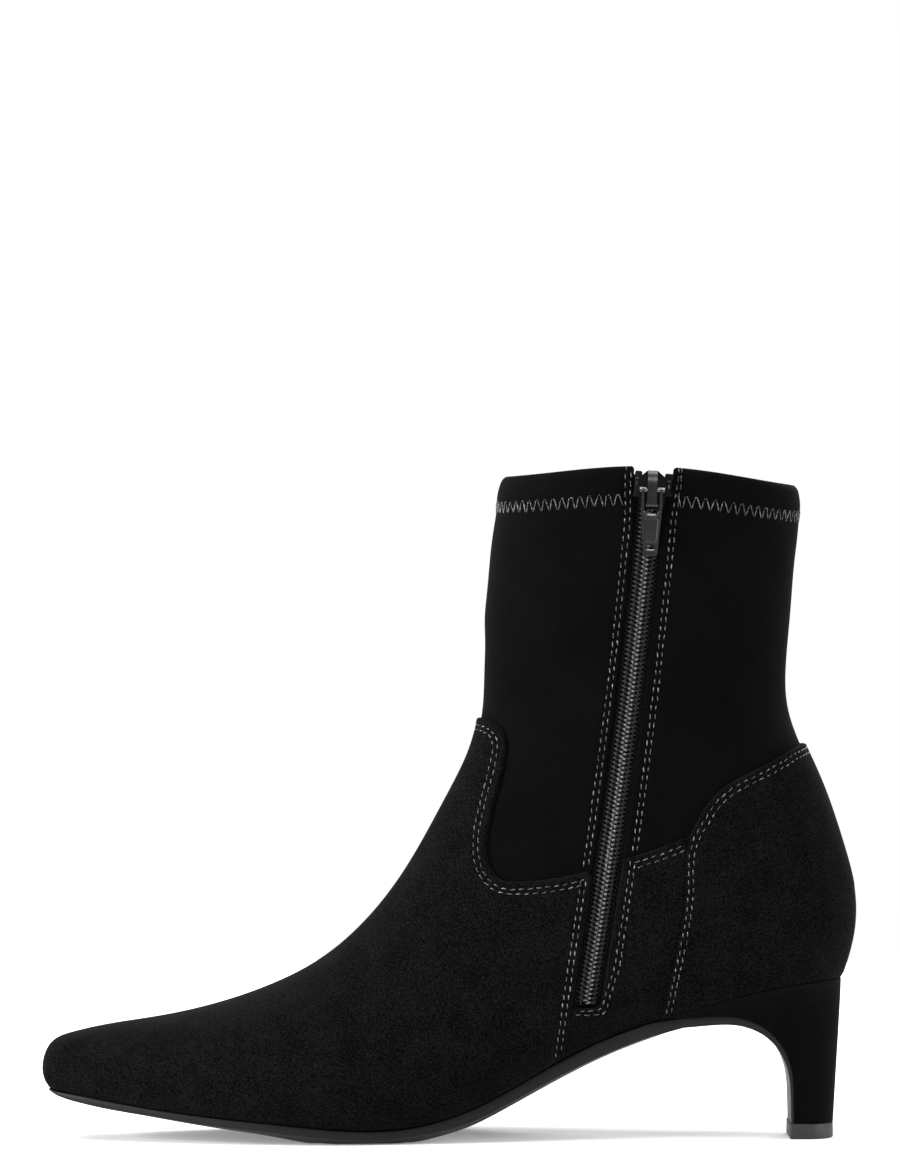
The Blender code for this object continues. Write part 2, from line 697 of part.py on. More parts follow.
def heel_end_halves(share):
    """Half-widths of the heel's lower end from its front (0) to its back (1)."""
    bend = np.clip((share - HEEL_END_STRAIGHT) / (1 - HEEL_END_STRAIGHT), 0, 1)
    return HEEL_END_HALF_WIDTH * np.sqrt(1 - bend**2)


def heel_ring(last, level, front_x, spread):
    """One ring of the heel: inside from front to back, then outside from back to front."""
    back_x = HEEL_END_BACK + (HEEL_SEAT_BACK - HEEL_END_BACK) * level
    share = np.sin(np.linspace(0, math.pi / 2, HEEL_SIDE_POINTS))
    x = front_x + (back_x - front_x) * share
    end_half = heel_end_halves(share)
    seat_half = plan_halves(np.minimum(x, HEEL_SEAT_BACK), HEEL_SEAT_BACK, HEEL_SEAT_MARGIN)
    seat_half *= ((x - back_x) < -1e-9)[:, None]
    end_z = TOP_PIECE_HEIGHT + FIT_GAP
    z = end_z + (last.feather_height(x) - SOLE_GAP - end_z) * level
    inside = end_half + (seat_half[:, 0] - end_half) * spread
    outside = end_half + (seat_half[:, 1] - end_half) * spread
    inside[-1] = 0.0
    ring = [(a, -b, c) for a, b, c in zip(x, inside, z)]
    return ring + [(a, b, c) for a, b, c in zip(x[-2::-1], outside[-2::-1], z[-2::-1])]


def sole_section(top, down, inner, outer, thickness, lift):
    """One section of the sole, from its inside top edge under the sole to its outside top edge."""
    sides = []
    for half, sign in ((inner, -1), (outer, 1)):
        side = [(half - point.inset, point.depth * thickness, sign) for point in SOLE_EDGE]
        side.append((half * SOLE_FLAT_SHARE, thickness + lift, sign))
        sides.append(side)
    ring = []
    for half, depth, sign in sides[0] + sides[1][::-1]:
        x, z = np.array(top) + np.array(down) * depth
        ring.append((x, sign * half, max(z, 0.0)))
    return ring


def sole_body(last):
    """The outsole from the toe to the heel's front, and its flap down to the top piece."""
    rings = []
    table = Spline([row.x for row in SOLE_ROWS], [row[1:] for row in SOLE_ROWS])
    for before, after in zip(SOLE_ROWS, SOLE_ROWS[1:] + SOLE_ROWS[-1:]):
        count = max(1, round((after.x - before.x) / SOLE_STEP))
        for x in np.linspace(before.x, after.x, count, endpoint=False):
            thickness, margin, lift = table(x)[0]
            near_toe = 1 - smooth_step((x - SOLE_ROWS[0].x) / SOLE_FRONT_LENGTH)
            reach = SOLE_FRONT_REACH * float(near_toe)
            halves = plan_halves(x + reach)[0] + margin
            top = (x, float(last.feather_height(x + reach)) - SOLE_GAP)
            rings.append(sole_section(top, (0, -1), *halves, thickness, lift))
    fronts = []
    halves = []
    for row in HEEL_ROWS[-2::-1]:
        ring = heel_ring(last, *row)
        fronts.append((ring[0][0], ring[0][2]))
        halves.append((-ring[0][1], ring[-1][1]))
    tangents = np.gradient(np.array(fronts), axis=0)
    share = np.linspace(1, 0, len(fronts)) ** 2
    thickness = FLAP_THICKNESS_END + (FLAP_THICKNESS_TOP - FLAP_THICKNESS_END) * share
    for front, tangent, half, thick in zip(fronts, tangents, halves, thickness):
        along = tangent / np.linalg.norm(tangent)
        down = np.array([along[1], -along[0]])
        if front == fronts[-1]:
            down = np.array([-1.0, 0.0])
        top = np.array(front) + down * FIT_GAP
        rings.append(sole_section(top, down, half[0] - FLAP_INSET, half[1] - FLAP_INSET, thick, 0.0))
    return loft(rings, whole_cap)


def insole_body(last):
    """A board inside the upper, just above the sole and the heel seat."""
    foot = np.linspace(INSOLE_FRONT, HEEL_ROUND_START, INSOLE_STATIONS)
    heel = np.linspace(HEEL_ROUND_START, INSOLE_BACK - INSOLE_BLUNT, INSOLE_HEEL_STATIONS)
    rings = []
    for x in np.concatenate([foot, heel[1:]]):
        inner, outer = plan_halves(x, INSOLE_BACK, -INSOLE_INSET)[0]
        low = float(last.feather_height(x)) + FIT_GAP
        high = low + INSOLE_THICKNESS
        rings.append(((x, -inner, low), (x, outer, low), (x, outer, high), (x, -inner, high)))
    return loft(rings, whole_cap)


def top_piece_outline():
    """The heel's lowest layer in plan: flat in front, round at the back."""
    share = np.sin(np.linspace(0, math.pi / 2, HEEL_SIDE_POINTS))
    x = TOP_PIECE_FRONT + (HEEL_END_BACK - TOP_PIECE_FRONT) * share
    half = heel_end_halves(share)
    half[-1] = 0.0
    return list(zip(x, -half)) + list(zip(x[-2::-1], half[-2::-1]))


def panel_forms():
    """Each panel's outline in side view, and the two depths that its cutting form spans."""
    gap = FIT_GAP / 2
    vamp_back = smooth_edge(VAMP_BACK_EDGE)
    vamp_top = smooth_edge(VAMP_TOP_EDGE)
    quarter_top = smooth_edge(QUARTER_TOP_EDGE)
    counter_front = smooth_edge(COUNTER_FRONT_EDGE)
    counter_top = smooth_edge(COUNTER_TOP_EDGE)
    _, slot_end, slot_back = slot_edges(PANEL_SLOT_GROW)

    vamp = [(-FAR, BELOW), (vamp_back[0][0] - gap, BELOW)]
    vamp += [(x - gap, z) for x, z in vamp_back]
    vamp += [tuple(p) for p in vamp_top[1:]] + [(-FAR, vamp_top[-1][1])]

    quarter_back = [(x - gap, z) for x, z in counter_front[::-1]][1:]
    outer = [(x + gap, z) for x, z in vamp_back]
    outer += [tuple(p) for p in quarter_top if p[0] > outer[-1][0] + CORNER_CLEAR]
    outer += quarter_back

    inner = [(x + gap, z) for x, z in vamp_back if z < slot_end[0][1] - CORNER_CLEAR]
    inner += slot_end + [p for p in slot_back if p[1] < QUARTER_SLOT_TOP]
    inner += [tuple(p) for p in quarter_top if p[0] > inner[-1][0] + CORNER_CLEAR]
    inner += quarter_back

    counter = [(x + gap, z) for x, z in counter_front]
    counter += [tuple(p) for p in counter_top[1:]]
    counter += [(FAR, counter_top[-1][1]), (FAR, counter_front[0][1])]
    return {
        "vamp": (vamp, -CUT_REACH, CUT_REACH),
        "inner_quarter": (inner, -CUT_REACH, -CUT_MIDDLE),
        "outer_quarter": (outer, CUT_MIDDLE, CUT_REACH),
        "counter": (counter, -CUT_REACH, CUT_REACH),
    }


def build_upper(parts, helpers, sheet):
    """One shell with the zip's slot down its inside, and the panels laid on it."""
    front, end, back = slot_edges()
    slot = prism(front + end + back, -CUT_REACH, -CUT_MIDDLE, side_place)
    upper = finish_object("upper", shell(sheet, -UPPER_WALL, 0.0), parts, CLOTH)
    boolean(upper, helper_object("slot", slot, helpers), "DIFFERENCE")
    for name, (outline, low, high) in panel_forms().items():
        thickness = COUNTER_THICKNESS if name == "counter" else PANEL_THICKNESS
        panel = finish_object(name, shell(sheet, PANEL_GAP, PANEL_GAP + thickness), parts, SUEDE)
        form = helper_object(f"{name}_form", prism(outline, low, high, side_place), helpers)
        boolean(panel, form, "INTERSECT")


def build_bottom(parts, last):
    """Outsole, heel, top piece and insole."""
    finish_object("outsole", sole_body(last), parts, SOLE_GREY)
    heel_rings = [heel_ring(last, *row) for row in HEEL_ROWS]
    finish_object("heel", loft(heel_rings, ladder_cap), parts, SUEDE)
    top_piece = prism(top_piece_outline(), 0.0, TOP_PIECE_HEIGHT, plan_place)
    finish_object("top_piece", top_piece, parts, SOLE_GREY)
    finish_object("insole", insole_body(last), parts, CLOTH)


def build_zip(parts, tree):
    """The two tapes behind the slot, and the coil on each."""
    tape_high = -UPPER_WALL - FIT_GAP
    tape_offsets = (tape_high - TAPE_THICKNESS, tape_high)
    coil_offsets = (COIL_LOW, COIL_HIGH)
    for name, side in (("front", -1), ("back", 1)):
        tape_sides = (side * TAPE_HALF_GAP, side * TAPE_HALF_WIDTH)
        tape = zip_strip(tree, *tape_sides, TAPE_TOP, TAPE_END, *tape_offsets, TAPE_COLUMNS)
        finish_object(f"zip_tape_{name}", tape, parts, CLOTH)
        coil_sides = (side * FIT_GAP / 2, side * COIL_HALF_WIDTH)
        coil = zip_strip(tree, *coil_sides, COIL_TOP, COIL_END, *coil_offsets, COIL_COLUMNS)
        finish_object(f"zip_coil_{name}", coil, parts, CLOTH)


def build_slider(parts, helpers, frame):
    """The slider's front plate, with the bail that carries the pull."""
    plate = prism(mirrored(PLATE_HALF_OUTLINE), PLATE_LOW, PLATE_HIGH, frame.face)
    slider = finish_object("zip_slider", plate, parts, METAL)
    foot = PLATE_HIGH - BAIL_SUNK
    bail = [(BAIL_LOW_END, foot), (BAIL_TOP_END, foot), (BAIL_TOP_END, BAIL_OVER), (BAIL_LOW_END, BAIL_OVER)]
    bail = prism(rounded(bail, BAIL_ROUND), -BAIL_HALF_WIDTH, BAIL_HALF_WIDTH, frame.edge)
    boolean(slider, helper_object("bail", bail, helpers), "UNION")
    low = BAIL_LOW_END + BAIL_LEG
    top = BAIL_TOP_END - BAIL_LEG
    window = [(low, PLATE_HIGH), (top, PLATE_HIGH), (top, BAIL_UNDER), (low, BAIL_UNDER)]
    window = prism(window, -TAB_CUT_REACH, TAB_CUT_REACH, frame.edge)
    boolean(slider, helper_object("bail_window", window, helpers), "DIFFERENCE")


def build_pull(parts, helpers, frame):
    """The pull tab, which swings on its bar under the bail. Its origin is on the hinge."""
    low = HINGE_OUT - PULL_THICKNESS / 2
    high = HINGE_OUT + PULL_THICKNESS / 2
    hinge = frame.face(0, 0, HINGE_OUT)
    tab = prism(mirrored(PULL_HALF_OUTLINE), low, high, frame.face)
    pull = finish_object("zip_pull", tab, parts, METAL, hinge)
    turn = np.linspace(0, 2 * math.pi, PULL_BAR_SIDES, endpoint=False)
    circle = [(PULL_BAR_RADIUS * math.cos(a), HINGE_OUT + PULL_BAR_RADIUS * math.sin(a)) for a in turn]
    window = rounded(taper(*PULL_WINDOW), PULL_WINDOW_ROUND)
    recess = rounded(taper(*PULL_RECESS), PULL_RECESS_ROUND)
    eye = rounded(taper(*PULL_EYE), PULL_EYE_ROUND)
    bar = prism(circle, -PULL_BAR_HALF_LENGTH, PULL_BAR_HALF_LENGTH, frame.edge)
    for name, form, operation in (
        ("pull_window", prism(window, 0.0, TAB_CUT_REACH, frame.face), "DIFFERENCE"),
        ("pull_bar", bar, "UNION"),
        ("pull_recess", prism(recess, high - PULL_RECESS_DEPTH, TAB_CUT_REACH, frame.face), "DIFFERENCE"),
        ("pull_eye", prism(eye, 0.0, TAB_CUT_REACH, frame.face), "DIFFERENCE"),
    ):
        boolean(pull, helper_object(name, form, helpers), operation)


def clear_scene():
    for item in list(bpy.data.objects):
        bpy.data.objects.remove(item, do_unlink=True)


def new_collection(name):
    collection = bpy.data.collections.new(name)
    bpy.context.scene.collection.children.link(collection)
    return collection


def build():
    clear_scene()
    parts = new_collection("ankle_boot")
    helpers = new_collection("helpers")
    helpers.hide_render = True
    last = Last()
    sheet = last.sheet()
    tree = BVHTree.FromBMesh(sheet)
    frame = SliderFrame(tree)
    build_upper(parts, helpers, sheet)
    build_bottom(parts, last)
    build_zip(parts, tree)
    build_slider(parts, helpers, frame)
    build_pull(parts, helpers, frame)
    sheet.free()


build()
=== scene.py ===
"""Finished look of the heeled ankle boot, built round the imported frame.

The boot stands as it does in the frame: toe along -X, the zip's side along -Y, +Z up. Shapes are worked
out in millimetres on the same last as the frame's solids, and MM turns them into metres.
"""

import json
import logging
import math
from collections.abc import Callable, Iterator, Sequence
from dataclasses import dataclass, field
from enum import Enum, IntEnum
from functools import partial
from typing import Any, NamedTuple

import bmesh
import bpy
import numpy as np
from mathutils import Matrix, Vector
from mathutils.bvhtree import BVHTree

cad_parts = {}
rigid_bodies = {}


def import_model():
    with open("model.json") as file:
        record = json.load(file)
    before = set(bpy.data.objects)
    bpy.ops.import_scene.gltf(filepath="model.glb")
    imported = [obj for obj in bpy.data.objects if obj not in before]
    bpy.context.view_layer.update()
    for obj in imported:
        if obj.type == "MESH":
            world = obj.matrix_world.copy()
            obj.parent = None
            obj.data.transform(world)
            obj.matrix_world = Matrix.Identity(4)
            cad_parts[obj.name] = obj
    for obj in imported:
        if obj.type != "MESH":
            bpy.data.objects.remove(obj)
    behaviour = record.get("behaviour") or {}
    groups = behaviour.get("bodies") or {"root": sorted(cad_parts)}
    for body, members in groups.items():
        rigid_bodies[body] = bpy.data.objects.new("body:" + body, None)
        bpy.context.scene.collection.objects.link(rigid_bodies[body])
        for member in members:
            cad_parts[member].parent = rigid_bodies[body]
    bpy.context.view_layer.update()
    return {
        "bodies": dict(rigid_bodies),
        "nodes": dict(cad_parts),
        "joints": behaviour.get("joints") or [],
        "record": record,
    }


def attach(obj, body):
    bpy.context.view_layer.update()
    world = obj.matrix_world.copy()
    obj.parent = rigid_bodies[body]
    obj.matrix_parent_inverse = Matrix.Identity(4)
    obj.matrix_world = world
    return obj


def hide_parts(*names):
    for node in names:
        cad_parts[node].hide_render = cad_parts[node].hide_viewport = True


LOG = logging.getLogger("ankle_boot")
MM = 0.001

# Short names for types that many functions take
Body = bmesh.types.BMesh
Vert = bmesh.types.BMVert
Material = bpy.types.Material
Piece = bpy.types.Object
Array = np.ndarray
Pair = tuple[float, float]
Sizes = tuple[float, float, float, float]
Field = Callable[[Array], Array]
Outline = Sequence[Pair]
Place = Callable[[float, float, float], Vector]

# The boot's own sizes, as in the frame's solids
UPPER_WALL = 1.6
PANEL_HEIGHT = 1.4
COUNTER_HEIGHT = 1.8
QUARTER_HEIGHT = 1.1
FIT_GAP = 0.3
LAST_SHIFT = np.array([0.1, -0.3, 0.0])
COLLAR_RISE_INSIDE = 3.8
COLLAR_RISE_OUTSIDE = 1.5


class Section(NamedTuple):
    """One section of the last: base and crest in side view, half-widths and roundness."""

    name: str
    base_x: float
    base_z: float
    crest_x: float
    crest_z: float
    crest_y: float
    body_in: float
    body_out: float
    widest: float
    crown: float
    skirt: float


SECTIONS = [
    Section(*row)
    for row in (
        ("toe_tip", -126.0, 16.5, -126.2, 16.9, -2.6, 9.8, 4.6, 0.50, 3.0, 2.2),
        ("toe_face", -125.6, 16.4, -128.2, 19.8, -2.6, 11.0, 5.8, 0.50, 3.0, 2.2),
        ("toe_nose", -124.6, 16.2, -128.7, 24.0, -2.7, 12.4, 7.2, 0.46, 2.9, 2.2),
        ("toe_brow", -122.6, 15.8, -126.8, 29.1, -2.8, 14.2, 9.0, 0.42, 2.7, 2.2),
        ("toe_top", -118.5, 15.1, -121.7, 31.9, -3.0, 17.0, 11.8, 0.36, 2.5, 2.2),
        ("toe_box", -110.0, 13.6, -110.8, 34.5, -3.3, 20.8, 15.8, 0.32, 2.3, 2.2),
        ("toe_puff", -95.0, 11.3, -95.4, 37.0, -3.8, 26.4, 22.0, 0.28, 2.2, 2.2),
        ("vamp_low", -75.0, 8.9, -76.2, 41.1, -4.3, 32.4, 29.8, 0.26, 2.1, 2.2),
        ("vamp_mid", -55.0, 7.0, -57.0, 47.6, -4.6, 36.4, 36.4, 0.25, 2.0, 2.2),
        ("ball", -33.0, 5.0, -38.2, 57.8, -4.5, 37.4, 40.2, 0.23, 1.9, 2.2),
        ("waist_fore", -12.0, 5.7, -23.2, 71.8, -4.0, 35.4, 39.8, 0.22, 1.85, 2.2),
        ("waist", 10.0, 12.6, -11.9, 87.3, -3.2, 32.4, 37.8, 0.22, 1.85, 2.2),
        ("waist_rear", 32.0, 24.7, -3.4, 102.3, -2.4, 30.4, 35.4, 0.23, 1.85, 2.2),
        ("shank", 54.0, 35.0, 2.1, 112.6, -1.6, 29.8, 33.2, 0.25, 1.9, 2.2),
        ("heel_fore", 76.0, 42.0, 5.9, 120.4, -1.0, 29.9, 31.8, 0.28, 1.95, 2.2),
        ("heel_mid", 97.0, 47.6, 8.3, 127.0, -0.6, 30.0, 31.0, 0.32, 2.0, 2.2),
        ("heel_rear", 113.0, 50.2, 9.6, 132.4, -0.3, 30.0, 30.6, 0.36, 2.05, 2.2),
        ("heel_back", 123.6, 51.0, 10.3, 137.0, 0.0, 30.0, 30.3, 0.40, 2.1, 2.2),
        ("counter_low", 127.3, 63.5, 10.7, 143.0, 0.0, 30.1, 30.3, 0.43, 2.1, 2.2),
        ("counter_mid", 128.1, 76.0, 10.9, 149.5, 0.0, 30.3, 30.4, 0.45, 2.1, 2.2),
        ("counter_high", 124.0, 94.0, 11.1, 158.0, 0.0, 30.5, 30.6, 0.47, 2.1, 2.2),
        ("counter_top", 117.0, 114.0, 11.0, 166.0, 0.0, 30.9, 30.9, 0.48, 2.1, 2.2),
        ("ankle", 108.2, 136.0, 11.9, 176.0, 0.0, 31.4, 31.4, 0.49, 2.1, 2.1),
        ("shaft_low", 107.3, 150.0, 12.6, 184.0, 0.0, 32.2, 32.2, 0.50, 2.1, 2.1),
        ("shaft_mid", 108.7, 167.0, 13.5, 192.0, 0.0, 33.4, 33.4, 0.50, 2.1, 2.1),
        ("shaft_high", 110.2, 185.0, 14.9, 200.5, 0.0, 34.7, 34.7, 0.50, 2.1, 2.1),
        ("hem", 111.4, 198.0, 16.0, 206.2, 0.0, 35.5, 35.5, 0.50, 2.1, 2.1),
        ("collar", 110.4, 208.4, 17.4, 211.3, 0.0, 35.9, 35.9, 0.50, 2.1, 2.1),
    )
]
HEEL_BACK_ROW = [section.name for section in SECTIONS].index("heel_back")
SHAFT_HIGH_ROW = [section.name for section in SECTIONS].index("shaft_high")


class PlanRow(NamedTuple):
    """Half-widths of the feather edge, where upper meets sole."""

    x: float
    inner: float
    outer: float


PLAN = [
    PlanRow(*row)
    for row in (
        (-126.0, 9.6, 4.4), (-124.6, 11.8, 6.6), (-122.6, 13.6, 8.4), (-118.5, 16.0, 10.8),
        (-110.0, 19.4, 14.2), (-95.0, 24.4, 19.8), (-75.0, 29.8, 26.8), (-55.0, 33.2, 32.8),
        (-33.0, 33.4, 36.6), (-12.0, 29.6, 35.6), (10.0, 25.0, 32.2), (32.0, 22.8, 28.6), (54.0, 23.0, 26.4),
        (76.0, 24.2, 25.2), (92.0, 24.4, 24.6),
    )
]
HEEL_ROUND_START = PLAN[-1].x
HEEL_ROUND_POWER = 2.3

# Panel edges and the zip in side view, as (x, z)
VAMP_TOP_EDGE = (
    (44.6, 86.3), (40.0, 85.2), (30.6, 83.3), (22.1, 82.6), (16.1, 83.2), (13.0, 86.4), (11.7, 94.0),
    (13.3, 103.8), (15.8, 112.6), (17.9, 121.6), (18.2, 127.0), (16.2, 131.2), (12.4, 133.4),
    (5.0, 134.2),
)
QUARTER_TOP_EDGE = ((75.6, 97.5), (67.0, 93.8), (59.9, 91.4), (52.0, 88.7), (44.0, 86.2))
COUNTER_EDGE = (
    (122.0, 125.6), (113.0, 125.7), (107.9, 124.0), (100.6, 120.2), (92.1, 116.1), (87.2, 113.3),
    (82.2, 108.9), (78.5, 103.2), (75.6, 97.2), (74.0, 79.0), (71.0, 60.0), (66.6, 40.0), (62.0, 20.0),
)
ZIP_LINE = ((64.1, 214.0), (58.6, 157.7), (50.7, 95.0), (43.0, 44.7))
# The zip's slot: half-width, what its flare adds at the collar and from what height, its end and corners
SLOT_HALF_WIDTH = 4.3
SLOT_FLARE = 1.9
SLOT_FLARE_START = 194.0
SLOT_END = 43.2
SLOT_ROUND = 2.2
# How far the rows behind the slot draw in to it at its end, and from what height
ROW_DRAW = 1.9
ROW_DRAW_START = 58.0


class SoleRow(NamedTuple):
    """The sole at one place: edge thickness, margin past the feather edge, fall of its middle."""

    x: float
    thickness: float
    margin: float
    lift: float


SOLE_ROWS = [
    SoleRow(*row)
    for row in (
        (-127.8, 0.5, 0.2, 0.1), (-126.2, 1.0, 1.4, 0.2), (-123.4, 1.6, 1.9, 0.4), (-118.0, 2.2, 2.1, 0.5),
        (-110.0, 2.4, 2.2, 0.6), (-98.0, 2.2, 2.2, 0.8), (-84.0, 2.4, 2.2, 1.0), (-70.0, 2.6, 2.2, 1.3),
        (-56.0, 2.7, 2.2, 1.9), (-44.0, 2.9, 2.2, 2.6), (-33.0, 2.8, 2.2, 2.6), (-22.0, 2.8, 2.1, 2.6),
        (-11.0, 2.9, 2.0, 2.4), (-2.0, 3.4, 1.9, 2.0), (7.0, 3.9, 1.8, 1.8), (16.0, 4.1, 1.7, 1.6),
        (26.0, 4.4, 1.6, 1.5), (36.0, 4.7, 1.6, 1.3), (46.0, 4.7, 1.6, 1.1), (56.0, 4.5, 1.6, 1.0),
        (64.0, 4.3, 1.6, 0.9),
    )
]


class HeelRow(NamedTuple):
    """The heel at one level, from the top piece (0) to the seat (1)."""

    level: float
    front_x: float
    spread: float


HEEL_ROWS = [
    HeelRow(*row)
    for row in (
        (0.00, 109.4, 0.00), (0.20, 109.3, 0.05), (0.36, 108.8, 0.12), (0.48, 107.3, 0.20),
        (0.61, 104.1, 0.32), (0.73, 99.0, 0.46), (0.81, 93.6, 0.58), (0.87, 87.2, 0.69), (0.91, 80.5, 0.78),
        (0.955, 73.0, 0.88), (1.00, 68.6, 1.00),
    )
]


class Spline:
    """A natural cubic curve through rows of values at rising knots."""

    def __init__(self, knots: Sequence[float], values: Sequence[Any]) -> None:
        """Solves for the curve's bends.

        Args:
            knots: Rising places of the rows.
            values: One row of values for each knot.
        """
        self.knots = np.asarray(knots, float)
        self.values = np.asarray(values, float)
        count = len(self.knots)
        steps = np.diff(self.knots)
        slopes = np.diff(self.values, axis=0) / steps[:, None]
        matrix = np.eye(count)
        right = np.zeros_like(self.values)
        for i in range(1, count - 1):
            matrix[i, i - 1] = steps[i - 1]
            matrix[i, i] = 2 * (steps[i - 1] + steps[i])
            matrix[i, i + 1] = steps[i]
            right[i] = 6 * (slopes[i] - slopes[i - 1])
        self.bends = np.linalg.solve(matrix, right)

    def __call__(self, where: Any) -> Array:
        """Rows of values at the places given.

        Args:
            where: One place or more.

        Returns:
            A row for each.
        """
        where = np.atleast_1d(np.asarray(where, float))
        i = np.clip(np.searchsorted(self.knots, where) - 1, 0, len(self.knots) - 2)
        step = (self.knots[i + 1] - self.knots[i])[:, None]
        left = (self.knots[i + 1] - where)[:, None] / step
        right = 1 - left
        bend = (left**3 - left) * self.bends[i] + (right**3 - right) * self.bends[i + 1]
        return left * self.values[i] + right * self.values[i + 1] + bend * step**2 / 6


def smooth_step(value: Any) -> Any:
    """An S-curve from 0 to 1."""
    value = np.clip(value, 0.0, 1.0)
    return value * value * (3 - 2 * value)


def run_lengths(points: Array) -> Array:
    """Distances along a line of points, from 0."""
    return np.concatenate([[0.0], np.cumsum(np.linalg.norm(np.diff(points, axis=0), axis=1))])


def grid_travel(rows: Array) -> Array:
    """Distances down each column of a grid of points, from 0 in its first row."""
    steps = np.linalg.norm(np.diff(rows, axis=0), axis=2)
    return np.vstack([np.zeros(rows.shape[1]), np.cumsum(steps, axis=0)])


PLAN_CURVE = Spline([row.x for row in PLAN], [(row.inner, row.outer) for row in PLAN])


def plan_halves(x: Any, back_x: float = SECTIONS[HEEL_BACK_ROW].base_x, margin: float = 0.0) -> Array:
    """Half-widths of the feather edge, closing round the heel.

    Args:
        x: Places along the boot.
        back_x: Where the heel's curve closes.
        margin: What is added all round.

    Returns:
        One (inside, outside) pair for each place.
    """
    x = np.atleast_1d(np.asarray(x, float))
    halves = PLAN_CURVE(np.clip(x, PLAN[0].x, HEEL_ROUND_START)) + margin
    share = np.clip((x - HEEL_ROUND_START) / (back_x - HEEL_ROUND_START), 0, 1)
    return halves * ((1 - share**HEEL_ROUND_POWER) ** (1 / HEEL_ROUND_POWER))[:, None]


